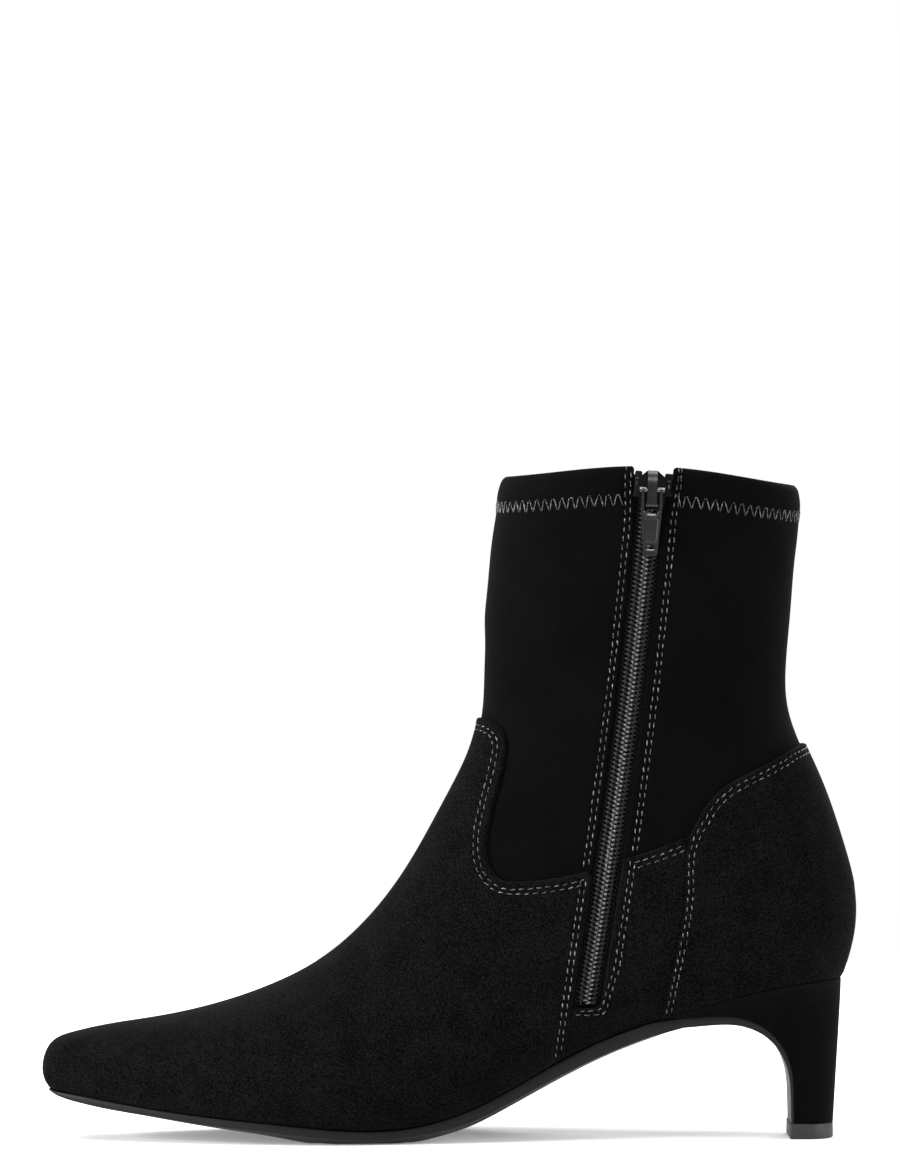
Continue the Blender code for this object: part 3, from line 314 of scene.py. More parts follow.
class Last:
    """The shape that every upper piece follows: sections from SECTIONS, smooth in between."""

    SMOOTH_COLUMNS = ("crest_x", "crest_z", "crest_y", "body_in", "body_out", "widest", "crown", "skirt")
    FEATHER_STEPS = 600
    FINE_STEPS = 1500
    SKIRT_STEPS = 48
    CROWN_STEPS = 96
    COLLAR_STEPS = 60
    COLLAR_POWER = 1.5
    CLOSEST = 0.9995

    def __init__(self) -> None:
        """Fits the curves through the table."""
        base = np.array([(s.base_x, s.base_z) for s in SECTIONS])
        crest = np.array([(s.crest_x, s.crest_z) for s in SECTIONS])
        self.knots = (run_lengths(base) + run_lengths(crest)) / 2
        self.heel_knot = self.knots[HEEL_BACK_ROW]
        self.foot_base = Spline(self.knots[: HEEL_BACK_ROW + 1], base[: HEEL_BACK_ROW + 1])
        self.back_base = Spline(self.knots[HEEL_BACK_ROW:], base[HEEL_BACK_ROW:])
        columns = [[getattr(s, name) for name in self.SMOOTH_COLUMNS] for s in SECTIONS]
        self.smooth = Spline(self.knots, columns)
        self.feather = self.foot_base(np.linspace(0, self.heel_knot, self.FEATHER_STEPS))

    def feather_height(self, x: Any) -> Any:
        """Height of the feather edge at x."""
        return np.interp(x, self.feather[:, 0], self.feather[:, 1])

    def base(self, knot: float) -> Array:
        """(x, z) where the section at a knot starts."""
        curve = self.foot_base if knot <= self.heel_knot else self.back_base
        return curve(knot)[0]

    def stations(self, step: float) -> Array:
        """Knots about one step apart, closer round the toe and the heel.

        Args:
            step: The distance (mm).

        Returns:
            The knots, from the toe to the collar.
        """
        fine = np.linspace(0, self.knots[-1], self.FINE_STEPS)
        base = np.array([self.base(knot) for knot in fine])
        halves = np.where(fine[:, None] < self.heel_knot, plan_halves(base[:, 0]), 0)
        guides = (np.column_stack([base, halves[:, 0]]), self.smooth(fine)[:, :2])
        travel = np.max([np.gradient(run_lengths(guide)) for guide in guides], axis=0)
        travel = np.cumsum(travel) - travel[0]
        stops = np.interp(self.knots, fine, travel)
        found = [0.0]
        for start, end in zip(stops, stops[1:]):
            count = max(1, round((end - start) / step))
            found += list(np.linspace(start, end, count + 1)[1:])
        return np.interp(found, travel, fine)

    def half_section(
        self,
        feather: float,
        body: float,
        widest: float,
        crown: float,
        skirt: float,
        length: float,
        columns: int,
    ) -> tuple[Array, Array]:
        """One side of a section, evenly spaced.

        Args:
            feather: Half-width at the base.
            body: Half-width at the widest place.
            widest: How far up the section that place is, 0 to 1.
            crown: Roundness above it.
            skirt: Roundness below it.
            length: Distance from base to crest.
            columns: How many steps the side has.

        Returns:
            The half-widths, and how far up each is from base (0) to crest (1).
        """
        closeness = min(feather / body, self.CLOSEST)
        start = math.asin(math.sqrt(1 - closeness**skirt))
        drop = widest / math.sin(start) ** (2 / skirt)
        low = np.linspace(-start, 0, self.SKIRT_STEPS)[:-1]
        high = np.linspace(0, math.pi / 2, self.CROWN_STEPS)
        low_width = body * np.cos(low) ** (2 / skirt)
        low_rise = widest - drop * np.abs(np.sin(low)) ** (2 / skirt)
        high_width = body * np.clip(np.cos(high), 0, 1) ** (2 / crown)
        high_rise = widest + (1 - widest) * np.sin(high) ** (2 / crown)
        width = np.concatenate([low_width, high_width])
        rise = np.concatenate([low_rise, high_rise])
        width[0] = min(feather, body)
        rise[0] = 0.0
        width[-1] = 0.0
        travel = run_lengths(np.column_stack([width, rise * length]))
        even = np.linspace(0, travel[-1], columns + 1)
        return np.interp(even, travel, width), np.interp(even, travel, rise)

    def row(self, knot: float, columns: int) -> Array:
        """Points (mm) of one section, from the inside's base over the crest to the outside's.

        Args:
            knot: Where the section is.
            columns: Steps on each side.

        Returns:
            One row for each point.
        """
        base = self.base(knot)
        values = dict(zip(self.SMOOTH_COLUMNS, self.smooth(knot)[0]))
        crest = np.array([values["crest_x"], values["crest_z"]])
        closed = knot >= self.heel_knot - 1e-6
        halves = (0.0, 0.0) if closed else plan_halves(base[0])[0]
        share = (knot - self.knots[SHAFT_HIGH_ROW]) / (self.knots[-1] - self.knots[SHAFT_HIGH_ROW])
        top_share = float(smooth_step(share))
        sides = []
        for sign, half, body, collar_rise in (
            (-1, halves[0], values["body_in"], COLLAR_RISE_INSIDE),
            (1, halves[1], values["body_out"], COLLAR_RISE_OUTSIDE),
        ):
            lean = -sign * values["crest_y"]
            width, rise = self.half_section(
                0.0 if closed else half + lean,
                body + lean,
                values["widest"],
                values["crown"],
                values["skirt"],
                np.linalg.norm(crest - base),
                columns,
            )
            points = np.empty((columns + 1, 3))
            points[:, [0, 2]] = base + rise[:, None] * (crest - base)
            points[:, 1] = values["crest_y"] + sign * width
            points[:, 2] += collar_rise * top_share * np.sin(math.pi * rise) ** self.COLLAR_POWER
            sides.append(points)
        return np.concatenate([sides[0], sides[1][-2::-1]]) + LAST_SHIFT

    def collar_ring(self, depth: float) -> Array:
        """Points (mm) round the shaft at one distance below the collar.

        Args:
            depth: The distance.

        Returns:
            One row for each point.
        """
        knots = np.linspace(self.knots[-1], self.knots[SHAFT_HIGH_ROW - 2], self.COLLAR_STEPS)
        rows = np.array([self.row(knot, self.COLLAR_STEPS) for knot in knots])
        depths = grid_travel(rows)
        ring = np.empty(rows.shape[1:])
        for j in range(rows.shape[1]):
            ring[j] = [np.interp(depth, depths[:, j], rows[:, j, k]) for k in range(3)]
        return ring


class SideLine:
    """A smooth line in side view that runs on straight past both ends."""

    STEP = 1.5
    RUN_ON = 300.0

    def __init__(self, points: Sequence[Pair]) -> None:
        """Draws the line through (x, z) points.

        Args:
            points: The points, in order.
        """
        knots = run_lengths(np.array(points, float))
        count = max(2, round(knots[-1] / self.STEP) + 1)
        line = Spline(knots, points)(np.linspace(0, knots[-1], count))
        start = line[0] - line[1]
        end = line[-1] - line[-2]
        start = line[0] + start / np.linalg.norm(start) * self.RUN_ON
        end = line[-1] + end / np.linalg.norm(end) * self.RUN_ON
        self.line = np.vstack([start, line, end]) + LAST_SHIFT[[0, 2]]

    def signed(self, places: Array) -> Array:
        """Distances (mm) of points from the line in side view, positive on its left hand.

        Args:
            places: The points.

        Returns:
            One distance for each.
        """
        flat = places[:, [0, 2]]
        best = np.full(len(flat), np.inf)
        side = np.ones(len(flat))
        for start, end in zip(self.line, self.line[1:]):
            along = end - start
            away = flat - start
            share = np.clip(away @ along / (along @ along), 0, 1)
            gap = np.linalg.norm(away - share[:, None] * along, axis=1)
            turn = np.sign(along[0] * away[:, 1] - along[1] * away[:, 0])
            nearer = gap < best
            best = np.where(nearer, gap, best)
            side = np.where(nearer, turn, side)
        return best * side


class Column(IntEnum):
    """What the columns of a table of points hold (mm): place, then distances on the sheet."""

    X = 0
    Y = 1
    Z = 2
    DEPTH = 3
    VAMP = 4
    QUARTER = 5
    COUNTER = 6
    ZIP = 7


DISTANCES = (Column.DEPTH, Column.VAMP, Column.QUARTER, Column.COUNTER, Column.ZIP)


class Seam(NamedTuple):
    """A line of points on a surface, as a table, with the surface's normals there."""

    points: Array
    normals: Array


# How the back of the heel is evened (mm): behind this x and below this z, and how many times
SEAT_EVEN = (86.0, 80.0)
SEAT_PASSES = 6
# How its lower edge is then drawn in: where that starts and fades in, how high and how far it reaches
SEAT_START = 62.0
SEAT_FADE = 34.0
SEAT_ROUND = 3.2
SEAT_DRAW = 1.7
# Points nearer than this become one (mm), on the last and on the rings of a tube
LAST_MERGE = 0.01
RING_MERGE = 0.005


def new_grid(along: int, across: int) -> Body:
    """A flat grid of size 1 round the origin.

    Args:
        along: Steps in x.
        across: Steps in y.

    Returns:
        The grid.
    """
    body = bmesh.new()
    bmesh.ops.create_grid(body, x_segments=along, y_segments=across, size=0.5)
    return body


def grid_places(body: Body, along: int, across: int) -> Iterator[tuple[Vert, int, int]]:
    """Each point of a new grid, with its steps along and across."""
    for vert in body.verts:
        yield vert, round((vert.co.x + 0.5) * along), round((vert.co.y + 0.5) * across)


class Sheet:
    """An open mesh on the last's surface that can be cut along lines and raised."""

    SNAP = 0.16
    JUMP = 7.0
    TOUCH = 1e-9
    SHORTEST = 4

    def __init__(self, body: Body) -> None:
        """Takes a mesh as it is, and adds the layers that it lacks.

        Args:
            body: The mesh.
        """
        self.body = body
        layers = body.verts.layers
        if layers.int.get("held") is None:
            layers.int.new("held")
        for column in DISTANCES:
            if layers.float.get(column.name) is None:
                layers.float.new(column.name)
        self.layers = [layers.float[column.name] for column in DISTANCES]
        self.held = layers.int["held"]

    @classmethod
    def on_last(cls, last: Last, step: float, columns: int) -> "Sheet":
        """The whole upper as a grid, its back seam joined.

        Args:
            last: The shape to follow.
            step: Distance between sections.
            columns: Steps from the feather edge to the crest.

        Returns:
            The sheet. Its depth layer holds the distance below the collar.
        """
        rows = np.array([last.row(knot, columns) for knot in last.stations(step)])
        depth = grid_travel(rows[::-1])[::-1]
        along, across = rows.shape[0] - 1, rows.shape[1] - 1
        body = new_grid(along, across)
        sheet = cls(body)
        for vert, i, j in grid_places(body, along, across):
            vert.co = Vector(rows[i, j]) * MM
            vert[sheet.layers[0]] = depth[i, j]
        bmesh.ops.remove_doubles(body, verts=body.verts, dist=LAST_MERGE * MM)
        body.normal_update()
        if sum(face.normal.y * face.calc_center_median().y for face in body.faces) < 0:
            bmesh.ops.reverse_faces(body, faces=body.faces)
        body.normal_update()
        return sheet

    def round_seat(self, last: Last) -> None:
        """Evens the back of the heel, and draws its lower edge in towards the seat.

        Args:
            last: The shape that the sheet follows.
        """
        places = self.places()
        near = (places[:, Column.X] > SEAT_EVEN[0]) & (places[:, Column.Z] < SEAT_EVEN[1])
        evened = [vert for vert, inside in zip(self.body.verts, near) if inside and not vert.is_boundary]
        for _ in range(SEAT_PASSES):
            bmesh.ops.smooth_vert(
                self.body, verts=evened, factor=0.5, use_axis_x=True, use_axis_y=True, use_axis_z=True
            )
        self.body.normal_update()
        places = self.places()
        height = places[:, Column.Z] - last.feather_height(places[:, Column.X] - LAST_SHIFT[0])
        low = 1 - np.clip(height / SEAT_ROUND, 0, 1)
        fade = smooth_step((places[:, Column.X] - SEAT_START) / SEAT_FADE)
        for vert, shift in zip(self.body.verts, SEAT_DRAW * fade * (1 - np.sqrt(1 - low**2))):
            inward = Vector((vert.normal.x, vert.normal.y, 0.0)).normalized()
            vert.co -= inward * shift * MM
        self.body.normal_update()

    def copy(self) -> "Sheet":
        """A second sheet of the same shape."""
        return Sheet(self.body.copy())

    def measure(self, lines: dict[Column, SideLine]) -> None:
        """Stores every point's distance from lines in side view."""
        places = self.places()
        for column, line in lines.items():
            layer = self.layers[DISTANCES.index(column)]
            for vert, value in zip(self.body.verts, line.signed(places)):
                vert[layer] = value

    def places(self, verts: Sequence[Vert] | None = None) -> Array:
        """The table of all points, or of those given."""
        verts = self.body.verts if verts is None else verts
        columns = [[vert[layer] for vert in verts] for layer in self.layers]
        return np.column_stack([np.array([vert.co for vert in verts]) / MM, *columns])

    def imprint(self, values: Array) -> list[list[Vert]]:
        """Cuts the faces along the line where the values pass zero.

        Args:
            values: One number for each point.

        Returns:
            The line's points, in runs.
        """
        body = self.body
        body.verts.index_update()
        ends = np.array([[vert.index for vert in edge.verts] for edge in body.edges])
        first, second = values[ends[:, 0]], values[ends[:, 1]]
        crossing = (first * second < 0) & (np.abs(first - second) < self.JUMP)
        edges = [edge for edge, cut in zip(body.edges, crossing) if cut]
        line = [vert for vert, value in zip(body.verts, values) if abs(value) < self.TOUCH]
        for edge in edges:
            a, b = edge.verts
            if values[a.index] * values[b.index] >= 0:
                continue
            share = values[a.index] / (values[a.index] - values[b.index])
            for vert, other, part in ((a, b, share), (b, a, 1 - share)):
                free = edge.is_boundary or not vert.is_boundary
                if part < self.SNAP and free and not vert[self.held]:
                    vert.co = vert.co.lerp(other.co, part)
                    for layer in self.layers:
                        vert[layer] += (other[layer] - vert[layer]) * part
                    values[vert.index] = 0.0
                    vert[self.held] = 1
                    line.append(vert)
                    break
        for edge in edges:
            a, b = edge.verts
            if values[a.index] * values[b.index] < 0:
                share = values[a.index] / (values[a.index] - values[b.index])
                _, vert = bmesh.utils.edge_split(edge, a, share)
                vert[self.held] = 1
                line.append(vert)
        bmesh.ops.connect_verts(body, verts=line)
        return self.runs(line)

    @staticmethod
    def runs(line: list[Vert]) -> list[list[Vert]]:
        """Puts the points of a cut line in order.

        Args:
            line: The points, in any order.

        Returns:
            The points in runs, each joined from one to the next.
        """
        members = dict.fromkeys(line)
        links = {}
        for vert in members:
            beside = [edge.other_vert(vert) for edge in vert.link_edges]
            links[vert] = [other for other in beside if other in members]
        ends = [vert for vert in members if len(links[vert]) == 1]
        found = []
        for start in ends + list(members):
            if start not in members:
                continue
            run = [start]
            del members[start]
            while True:
                following = next((v for v in links[run[-1]] if v in members), None)
                if following is None:
                    break
                run.append(following)
                del members[following]
            if len(run) >= Sheet.SHORTEST:
                found.append(run)
        return found

    def trim(self, region: Field) -> None:
        """Keeps the part of the sheet where a region's distance is positive.

        Args:
            region: Gives the distances.
        """
        self.imprint(region(self.places()))
        self.body.verts.index_update()
        values = region(self.places())
        outside = [f for f in self.body.faces if sum(values[v.index] for v in f.verts) <= 0]
        bmesh.ops.delete(self.body, geom=outside, context="FACES")

    def raise_by(self, heights: Array) -> None:
        """Moves every point along its normal by its own height (mm)."""
        self.body.normal_update()
        normals = [vert.normal.copy() for vert in self.body.verts]
        for vert, normal, height in zip(self.body.verts, normals, heights):
            vert.co += normal * float(height) * MM
        self.body.normal_update()

    def seams(self, runs: list[list[Vert]]) -> list[Seam]:
        """Reads where cut lines lie, once the sheet has its final shape."""
        return [Seam(self.places(run), np.array([vert.normal for vert in run])) for run in runs]

    def tree(self) -> BVHTree:
        """A search tree of the sheet."""
        return BVHTree.FromBMesh(self.body)


def new_piece(name: str, body: Body, materials: Sequence[Material]) -> Piece:
    """Makes a mesh object at the origin.

    Args:
        name: The piece's name.
        body: Its mesh, which is freed.
        materials: Its material slots, in order.

    Returns:
        The object, shaded smooth.
    """
    mesh = bpy.data.meshes.new(name)
    body.to_mesh(mesh)
    body.free()
    mesh.shade_smooth()
    for material in materials:
        mesh.materials.append(material)
    piece = bpy.data.objects.new(name, mesh)
    bpy.context.scene.collection.objects.link(piece)
    return piece


def place_piece(piece: Piece, body: str, slot: str | None, *nodes: str) -> None:
    """Lets a piece ride on a body, and hides the solids that it stands for.

    Args:
        piece: The piece.
        body: The body's name.
        slot: The material slot in the record, if it has one. Not used.
        nodes: The solids.
    """
    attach(piece, body)
    if nodes:
        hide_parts(*nodes)
    LOG.info("%s: %d faces on %s", piece.name, len(piece.data.polygons), body)


def thicken(piece: Piece, wall: float, inner_material: int = 0) -> None:
    """Gives a sheet its thickness, inwards."""
    modifier = piece.modifiers.new("wall", "SOLIDIFY")
    modifier.thickness = wall * MM
    modifier.offset = -1.0
    modifier.material_offset = inner_material


def mapped_grid(rings: Array) -> Body:
    """A closed tube through rings of points, its ends capped.

    Args:
        rings: Points (mm) as [ring, place round the ring, axis].

    Returns:
        The body, its faces pointing out.
    """
    along, around = rings.shape[0] - 1, rings.shape[1]
    body = new_grid(along, around)
    for vert, i, j in grid_places(body, along, around):
        vert.co = Vector(rings[i, j % around] + LAST_SHIFT) * MM
    bmesh.ops.remove_doubles(body, verts=body.verts, dist=RING_MERGE * MM)
    bmesh.ops.holes_fill(body, edges=[edge for edge in body.edges if edge.is_boundary])
    bmesh.ops.recalc_face_normals(body, faces=body.faces)
    return body


def soften(body: Body, edges: Sequence[bmesh.types.BMEdge], width: float) -> None:
    """Rounds the edges given over a width (mm)."""
    bmesh.ops.bevel(
        body, geom=edges, offset=width * MM, affect="EDGES", segments=3, profile=0.5, material=-1
    )


def linear(colour: str) -> tuple[float, float, float, float]:
    """Turns an sRGB hex value into linear colour with full alpha."""
    parts = [int(colour[i : i + 2], 16) / 255 for i in (1, 3, 5)]
    turned = [c / 12.92 if c <= 0.04045 else ((c + 0.055) / 1.055) ** 2.4 for c in parts]
    return (*turned, 1.0)


def add_node(
    tree: bpy.types.NodeTree, kind: str, inputs: dict[str, Any] | None = None, **settings: Any
) -> Any:
    """Adds a node with its settings and links.

    Args:
        tree: The material's node tree.
        kind: The node's type name.
        inputs: Values for its sockets by name. A socket given as a value is linked.
        settings: Values for its own properties.

    Returns:
        The node.
    """
    node = tree.nodes.new(kind)
    for name, value in settings.items():
        setattr(node, name, value)
    for name, value in (inputs or {}).items():
        socket = node.inputs[name]
        if isinstance(value, bpy.types.NodeSocket):
            tree.links.new(value, socket)
        else:
            socket.default_value = value
    return node


@dataclass(frozen=True)
class Finish:
    """A surface whose colour varies with a grain and a blotch, and its relief with the grain."""

    GRAIN_DETAIL = 3.0
    BLOTCH_DETAIL = 2.0
    BUMP_STRENGTH = 0.6

    name: str
    dark: str
    light: str
    grain_mm: float
    blotch_mm: float
    roughness: float
    specular: float
    grain_share: float = 0.6
    relief_mm: float = 0.1
    sheen: float = 0.0
    metallic: float = 0.0
    coat: float = 0.0
    spread: Pair = (0.32, 0.68)

    def material(self) -> Material:
        """Builds the node material."""
        material = bpy.data.materials.new(self.name)
        material.use_nodes = True
        tree = material.node_tree
        where = add_node(tree, "ShaderNodeTexCoord").outputs["Object"]
        grain, blotch = [
            add_node(
                tree, "ShaderNodeTexNoise", {"Vector": where, "Scale": 1 / (size * MM), "Detail": detail}
            ).outputs["Fac"]
            for size, detail in ((self.grain_mm, self.GRAIN_DETAIL), (self.blotch_mm, self.BLOTCH_DETAIL))
        ]
        tone = add_node(tree, "ShaderNodeMix", {"Factor": self.grain_share, "A": blotch, "B": grain})
        spread = add_node(
            tree,
            "ShaderNodeMapRange",
            {"Value": tone.outputs["Result"], "From Min": self.spread[0], "From Max": self.spread[1]},
        )
        colour = add_node(
            tree,
            "ShaderNodeMix",
            {"Factor": spread.outputs["Result"], "A": linear(self.dark), "B": linear(self.light)},
            data_type="RGBA",
        )
        bump = add_node(
            tree,
            "ShaderNodeBump",
            {"Height": grain, "Strength": self.BUMP_STRENGTH, "Distance": self.relief_mm * MM},
        )
        shader = tree.nodes["Principled BSDF"]
        tree.links.new(colour.outputs["Result"], shader.inputs["Base Color"])
        tree.links.new(bump.outputs["Normal"], shader.inputs["Normal"])
        for socket, value in (
            ("Roughness", self.roughness),
            ("Specular IOR Level", self.specular),
            ("Metallic", self.metallic),
            ("Sheen Weight", self.sheen),
            ("Coat Weight", self.coat),
        ):
            shader.inputs[socket].default_value = value
        return material


# Nap brushed several ways: a dull, faintly mottled black that lightens along its outlines
BRUSHED_SUEDE = Finish(
    "brushed_suede", "#000000", "#0f0f10", 0.5, 9.0, 0.95, 0.03, 0.84, 0.2, sheen=0.009, spread=(0.42, 0.64)
)
# Suede drawn tight over the heel block: painted darker than the panels as painted shade under the counter's
# overhang, and more even
HEEL_SUEDE_PAINTED_SHADE = Finish(
    "heel_suede_painted_shade", "#000000", "#040405", 0.6, 14.0, 0.9, 0.04, relief_mm=0.12, sheen=0.01
)
# Close, even nap of the elastic shaft: darker and smoother than the panels
STRETCH_MICROSUEDE = Finish(
    "stretch_microsuede", "#000000", "#050506", 0.5, 22.0, 0.95, 0.035, relief_mm=0.09, sheen=0.01
)
# Knitted lining: a flat dark grey inside the collar
KNIT_LINING = Finish("knit_lining", "#101011", "#1c1c1e", 0.7, 12.0, 0.9, 0.15, relief_mm=0.06)
# Filament thread: dark, with pale patches painted into its colour along every row as painted glints
GLINT_PAINTED_THREAD = Finish(
    "thread_painted_glints", "#0b0b0c", "#6e6e73", 1.1, 3.0, 0.3, 0.5, 0.9, 0.06, spread=(0.46, 0.68)
)
# Woven tape: ribs too fine to count, nearly black in the slot's shade
WOVEN_TAPE = Finish("woven_tape", "#040404", "#0d0d0e", 0.4, 6.0, 0.8, 0.12, relief_mm=0.08)
# Nylon filament: satin black along the coil's legs
NYLON_COIL = Finish("nylon_coil", "#060607", "#0e0e10", 1.0, 6.0, 0.42, 0.22, relief_mm=0.0)
# The same filament on the heads in a lighter colour: a painted glint, a bright dash on every head
NYLON_PAINTED_GLINT = Finish(
    "nylon_painted_glint", "#2c2c2f", "#3e3e42", 1.0, 6.0, 0.16, 0.8, relief_mm=0.0, coat=1.0
)
# Black-plated zinc of the bail: dark, with a bright bend at its top
PLATED_ZINC = Finish(
    "plated_zinc", "#3e3e3f", "#4a4a4b", 0.9, 5.0, 0.3, 0.5, relief_mm=0.01, metallic=1.0
)
# The same plating on the pull, painted paler than on the bail as painted light on the part that stands out
# in front
PULL_ZINC_PAINTED_LIGHT = Finish(
    "pull_zinc_painted_light", "#505051", "#5c5c5d", 0.9, 5.0, 0.24, 0.5, relief_mm=0.01, metallic=1.0
)
# The slider's plate: the same black plating painted nearly black, as painted shade behind the pull
PLATE_PAINTED_SHADE = Finish("slider_plate_painted_shade", "#020203", "#060607", 0.9, 5.0, 0.5, 0.1, relief_mm=0.0)
# Moulded sole rubber: a satin dark grey that stands off from the suede
SOLE_RUBBER = Finish("sole_rubber_satin", "#08080a", "#0f0f11", 0.8, 12.0, 0.5, 0.15, relief_mm=0.03)
# Harder rubber of the top piece: a little lighter where it is worn
HEEL_RUBBER = Finish("heel_rubber", "#1c1c1e", "#28282b", 0.7, 7.0, 0.55, 0.35, relief_mm=0.03)
# Felted sock lining: flat and dark
FELT_SOCK = Finish("felt_sock", "#111112", "#1c1c1e", 0.8, 10.0, 0.95, 0.1, relief_mm=0.1)

# How the panels lie on the upper (mm), where FAR stands for off the panel
FAR = 100.0
VAMP_SETBACK = 4.5
UNDERLAP = 0.6
EDGE_LEVELS = (0.16, 0.45, 0.95)
EDGE_LOW = 0.25
# The groove along a row of stitches: its cut lines, half-width and depth, and how far it runs past the row
GROOVE_REACH = 0.55
GROOVE_WIDTH = 0.36
GROOVE_DEPTH = 0.2
GROOVE_RUN_OUT = 1.0


class ZipRow(NamedTuple):
    """A row of stitches beside the zip: -1 in front or 1 behind, and its distances from the slot."""

    side: int
    plain: float
    at_collar: float


FRONT_ROWS = (ZipRow(-1, 1.7, 0.9), ZipRow(-1, 3.2, 2.5))
BACK_ROWS = (ZipRow(1, 2.7, 1.76), ZipRow(1, 4.15, 2.7))
# Heights at which the rows behind the slot run on under it
TURN_HEIGHTS = (42.2, 41.0)
# Height from which the margin of the counter's rows grows, and over how much
COUNTER_GROWTH = (88.0, 16.0)


def round_corner(sideways: Array, below: Array) -> Array:
    """Distances outside two edges that meet in a round of SLOT_ROUND.

    Args:
        sideways: Distances past the round's centre towards the first edge.
        below: The same towards the second.

    Returns:
        Distances (mm), negative inside both edges.
    """
    outside = np.hypot(np.maximum(sideways, 0), np.maximum(below, 0))
    return outside + np.minimum(np.maximum(sideways, below), 0) - SLOT_ROUND


@dataclass
class SidePlan:
    """Edges of the panels and of the zip's slot, as distances (mm) in side view."""

    lines: dict[Column, SideLine] = field(
        default_factory=lambda: {
            Column.VAMP: SideLine(VAMP_TOP_EDGE),
            Column.QUARTER: SideLine(QUARTER_TOP_EDGE),
            Column.COUNTER: SideLine(COUNTER_EDGE),
            Column.ZIP: SideLine(ZIP_LINE),
        }
    )

    def flare(self, places: Array) -> Array:
        """How far the slot has opened towards the collar, 0 to 1."""
        return smooth_step((places[:, Column.Z] - SLOT_FLARE_START) / (ZIP_LINE[0][1] - SLOT_FLARE_START))

    def slot(self, places: Array) -> Array:
        """Distances outside the zip's slot, which is on the inside of the foot only."""
        half = SLOT_HALF_WIDTH + SLOT_FLARE * self.flare(places)
        sideways = np.abs(places[:, Column.ZIP]) - half + SLOT_ROUND
        below = SLOT_END + SLOT_ROUND - places[:, Column.Z]
        return np.where(places[:, Column.Y] < 0, round_corner(sideways, below), FAR)

    def vamp(self, places: Array) -> Array:
        """Distances inside the vamp."""
        return np.minimum(places[:, Column.VAMP], -VAMP_SETBACK - places[:, Column.ZIP])

    def counter(self, places: Array) -> Array:
        """Distances inside the counter."""
        return places[:, Column.COUNTER]

    def quarter_free(self, places: Array) -> Array:
        """Distances inside the quarters' own edges: the top and the slot."""
        return np.minimum(places[:, Column.QUARTER], self.slot(places) - FIT_GAP)

    def quarter(self, places: Array) -> Array:
        """Distances inside a quarter, which runs a little way under the vamp and the counter."""
        front = places[:, Column.ZIP] + VAMP_SETBACK + UNDERLAP
        back = UNDERLAP - self.counter(places)
        return np.minimum(self.quarter_free(places), np.minimum(front, back))

    def side_quarter(self, places: Array, side: int) -> Array:
        """Distances inside the quarter on one side: -1 beside the zip, 1 on the outside of the foot."""
        return np.where(places[:, Column.Y] * side > 0, self.quarter(places), -FAR)

    def zip_row(self, places: Array, row: ZipRow) -> Array:
        """Distances from a row beside the zip."""
        flare = self.flare(places)
        reach = SLOT_HALF_WIDTH + SLOT_FLARE * flare + row.plain + (row.at_collar - row.plain) * flare
        return places[:, Column.ZIP] - row.side * reach

    def turned_row(self, places: Array, row: ZipRow, height: float) -> Array:
        """Distances from a row that comes down behind the zip and turns under the slot's end.

        Args:
            places: The points.
            row: The row behind the zip.
            height: Where it runs under the slot.

        Returns:
            Distances (mm), positive outside the row.
        """
        drawn = ROW_DRAW * smooth_step((ROW_DRAW_START - places[:, Column.Z]) / (ROW_DRAW_START - SLOT_END))
        sideways = self.zip_row(places, row) + drawn + SLOT_ROUND
        return round_corner(sideways, height + SLOT_ROUND - places[:, Column.Z])

    def counter_row(self, places: Array, front: float, top: float) -> Array:
        """Distances from a row inside the counter's edge, whose margin grows up its front."""
        start, length = COUNTER_GROWTH
        margin = front + (top - front) * smooth_step((places[:, Column.Z] - start) / length)
        return self.counter(places) - margin


class StitchRow(NamedTuple):
    """A row of stitches: it runs where gap is zero, and only where within is positive."""

    gap: Field
    within: Field


CutRow = tuple[StitchRow, list[list[Vert]]]


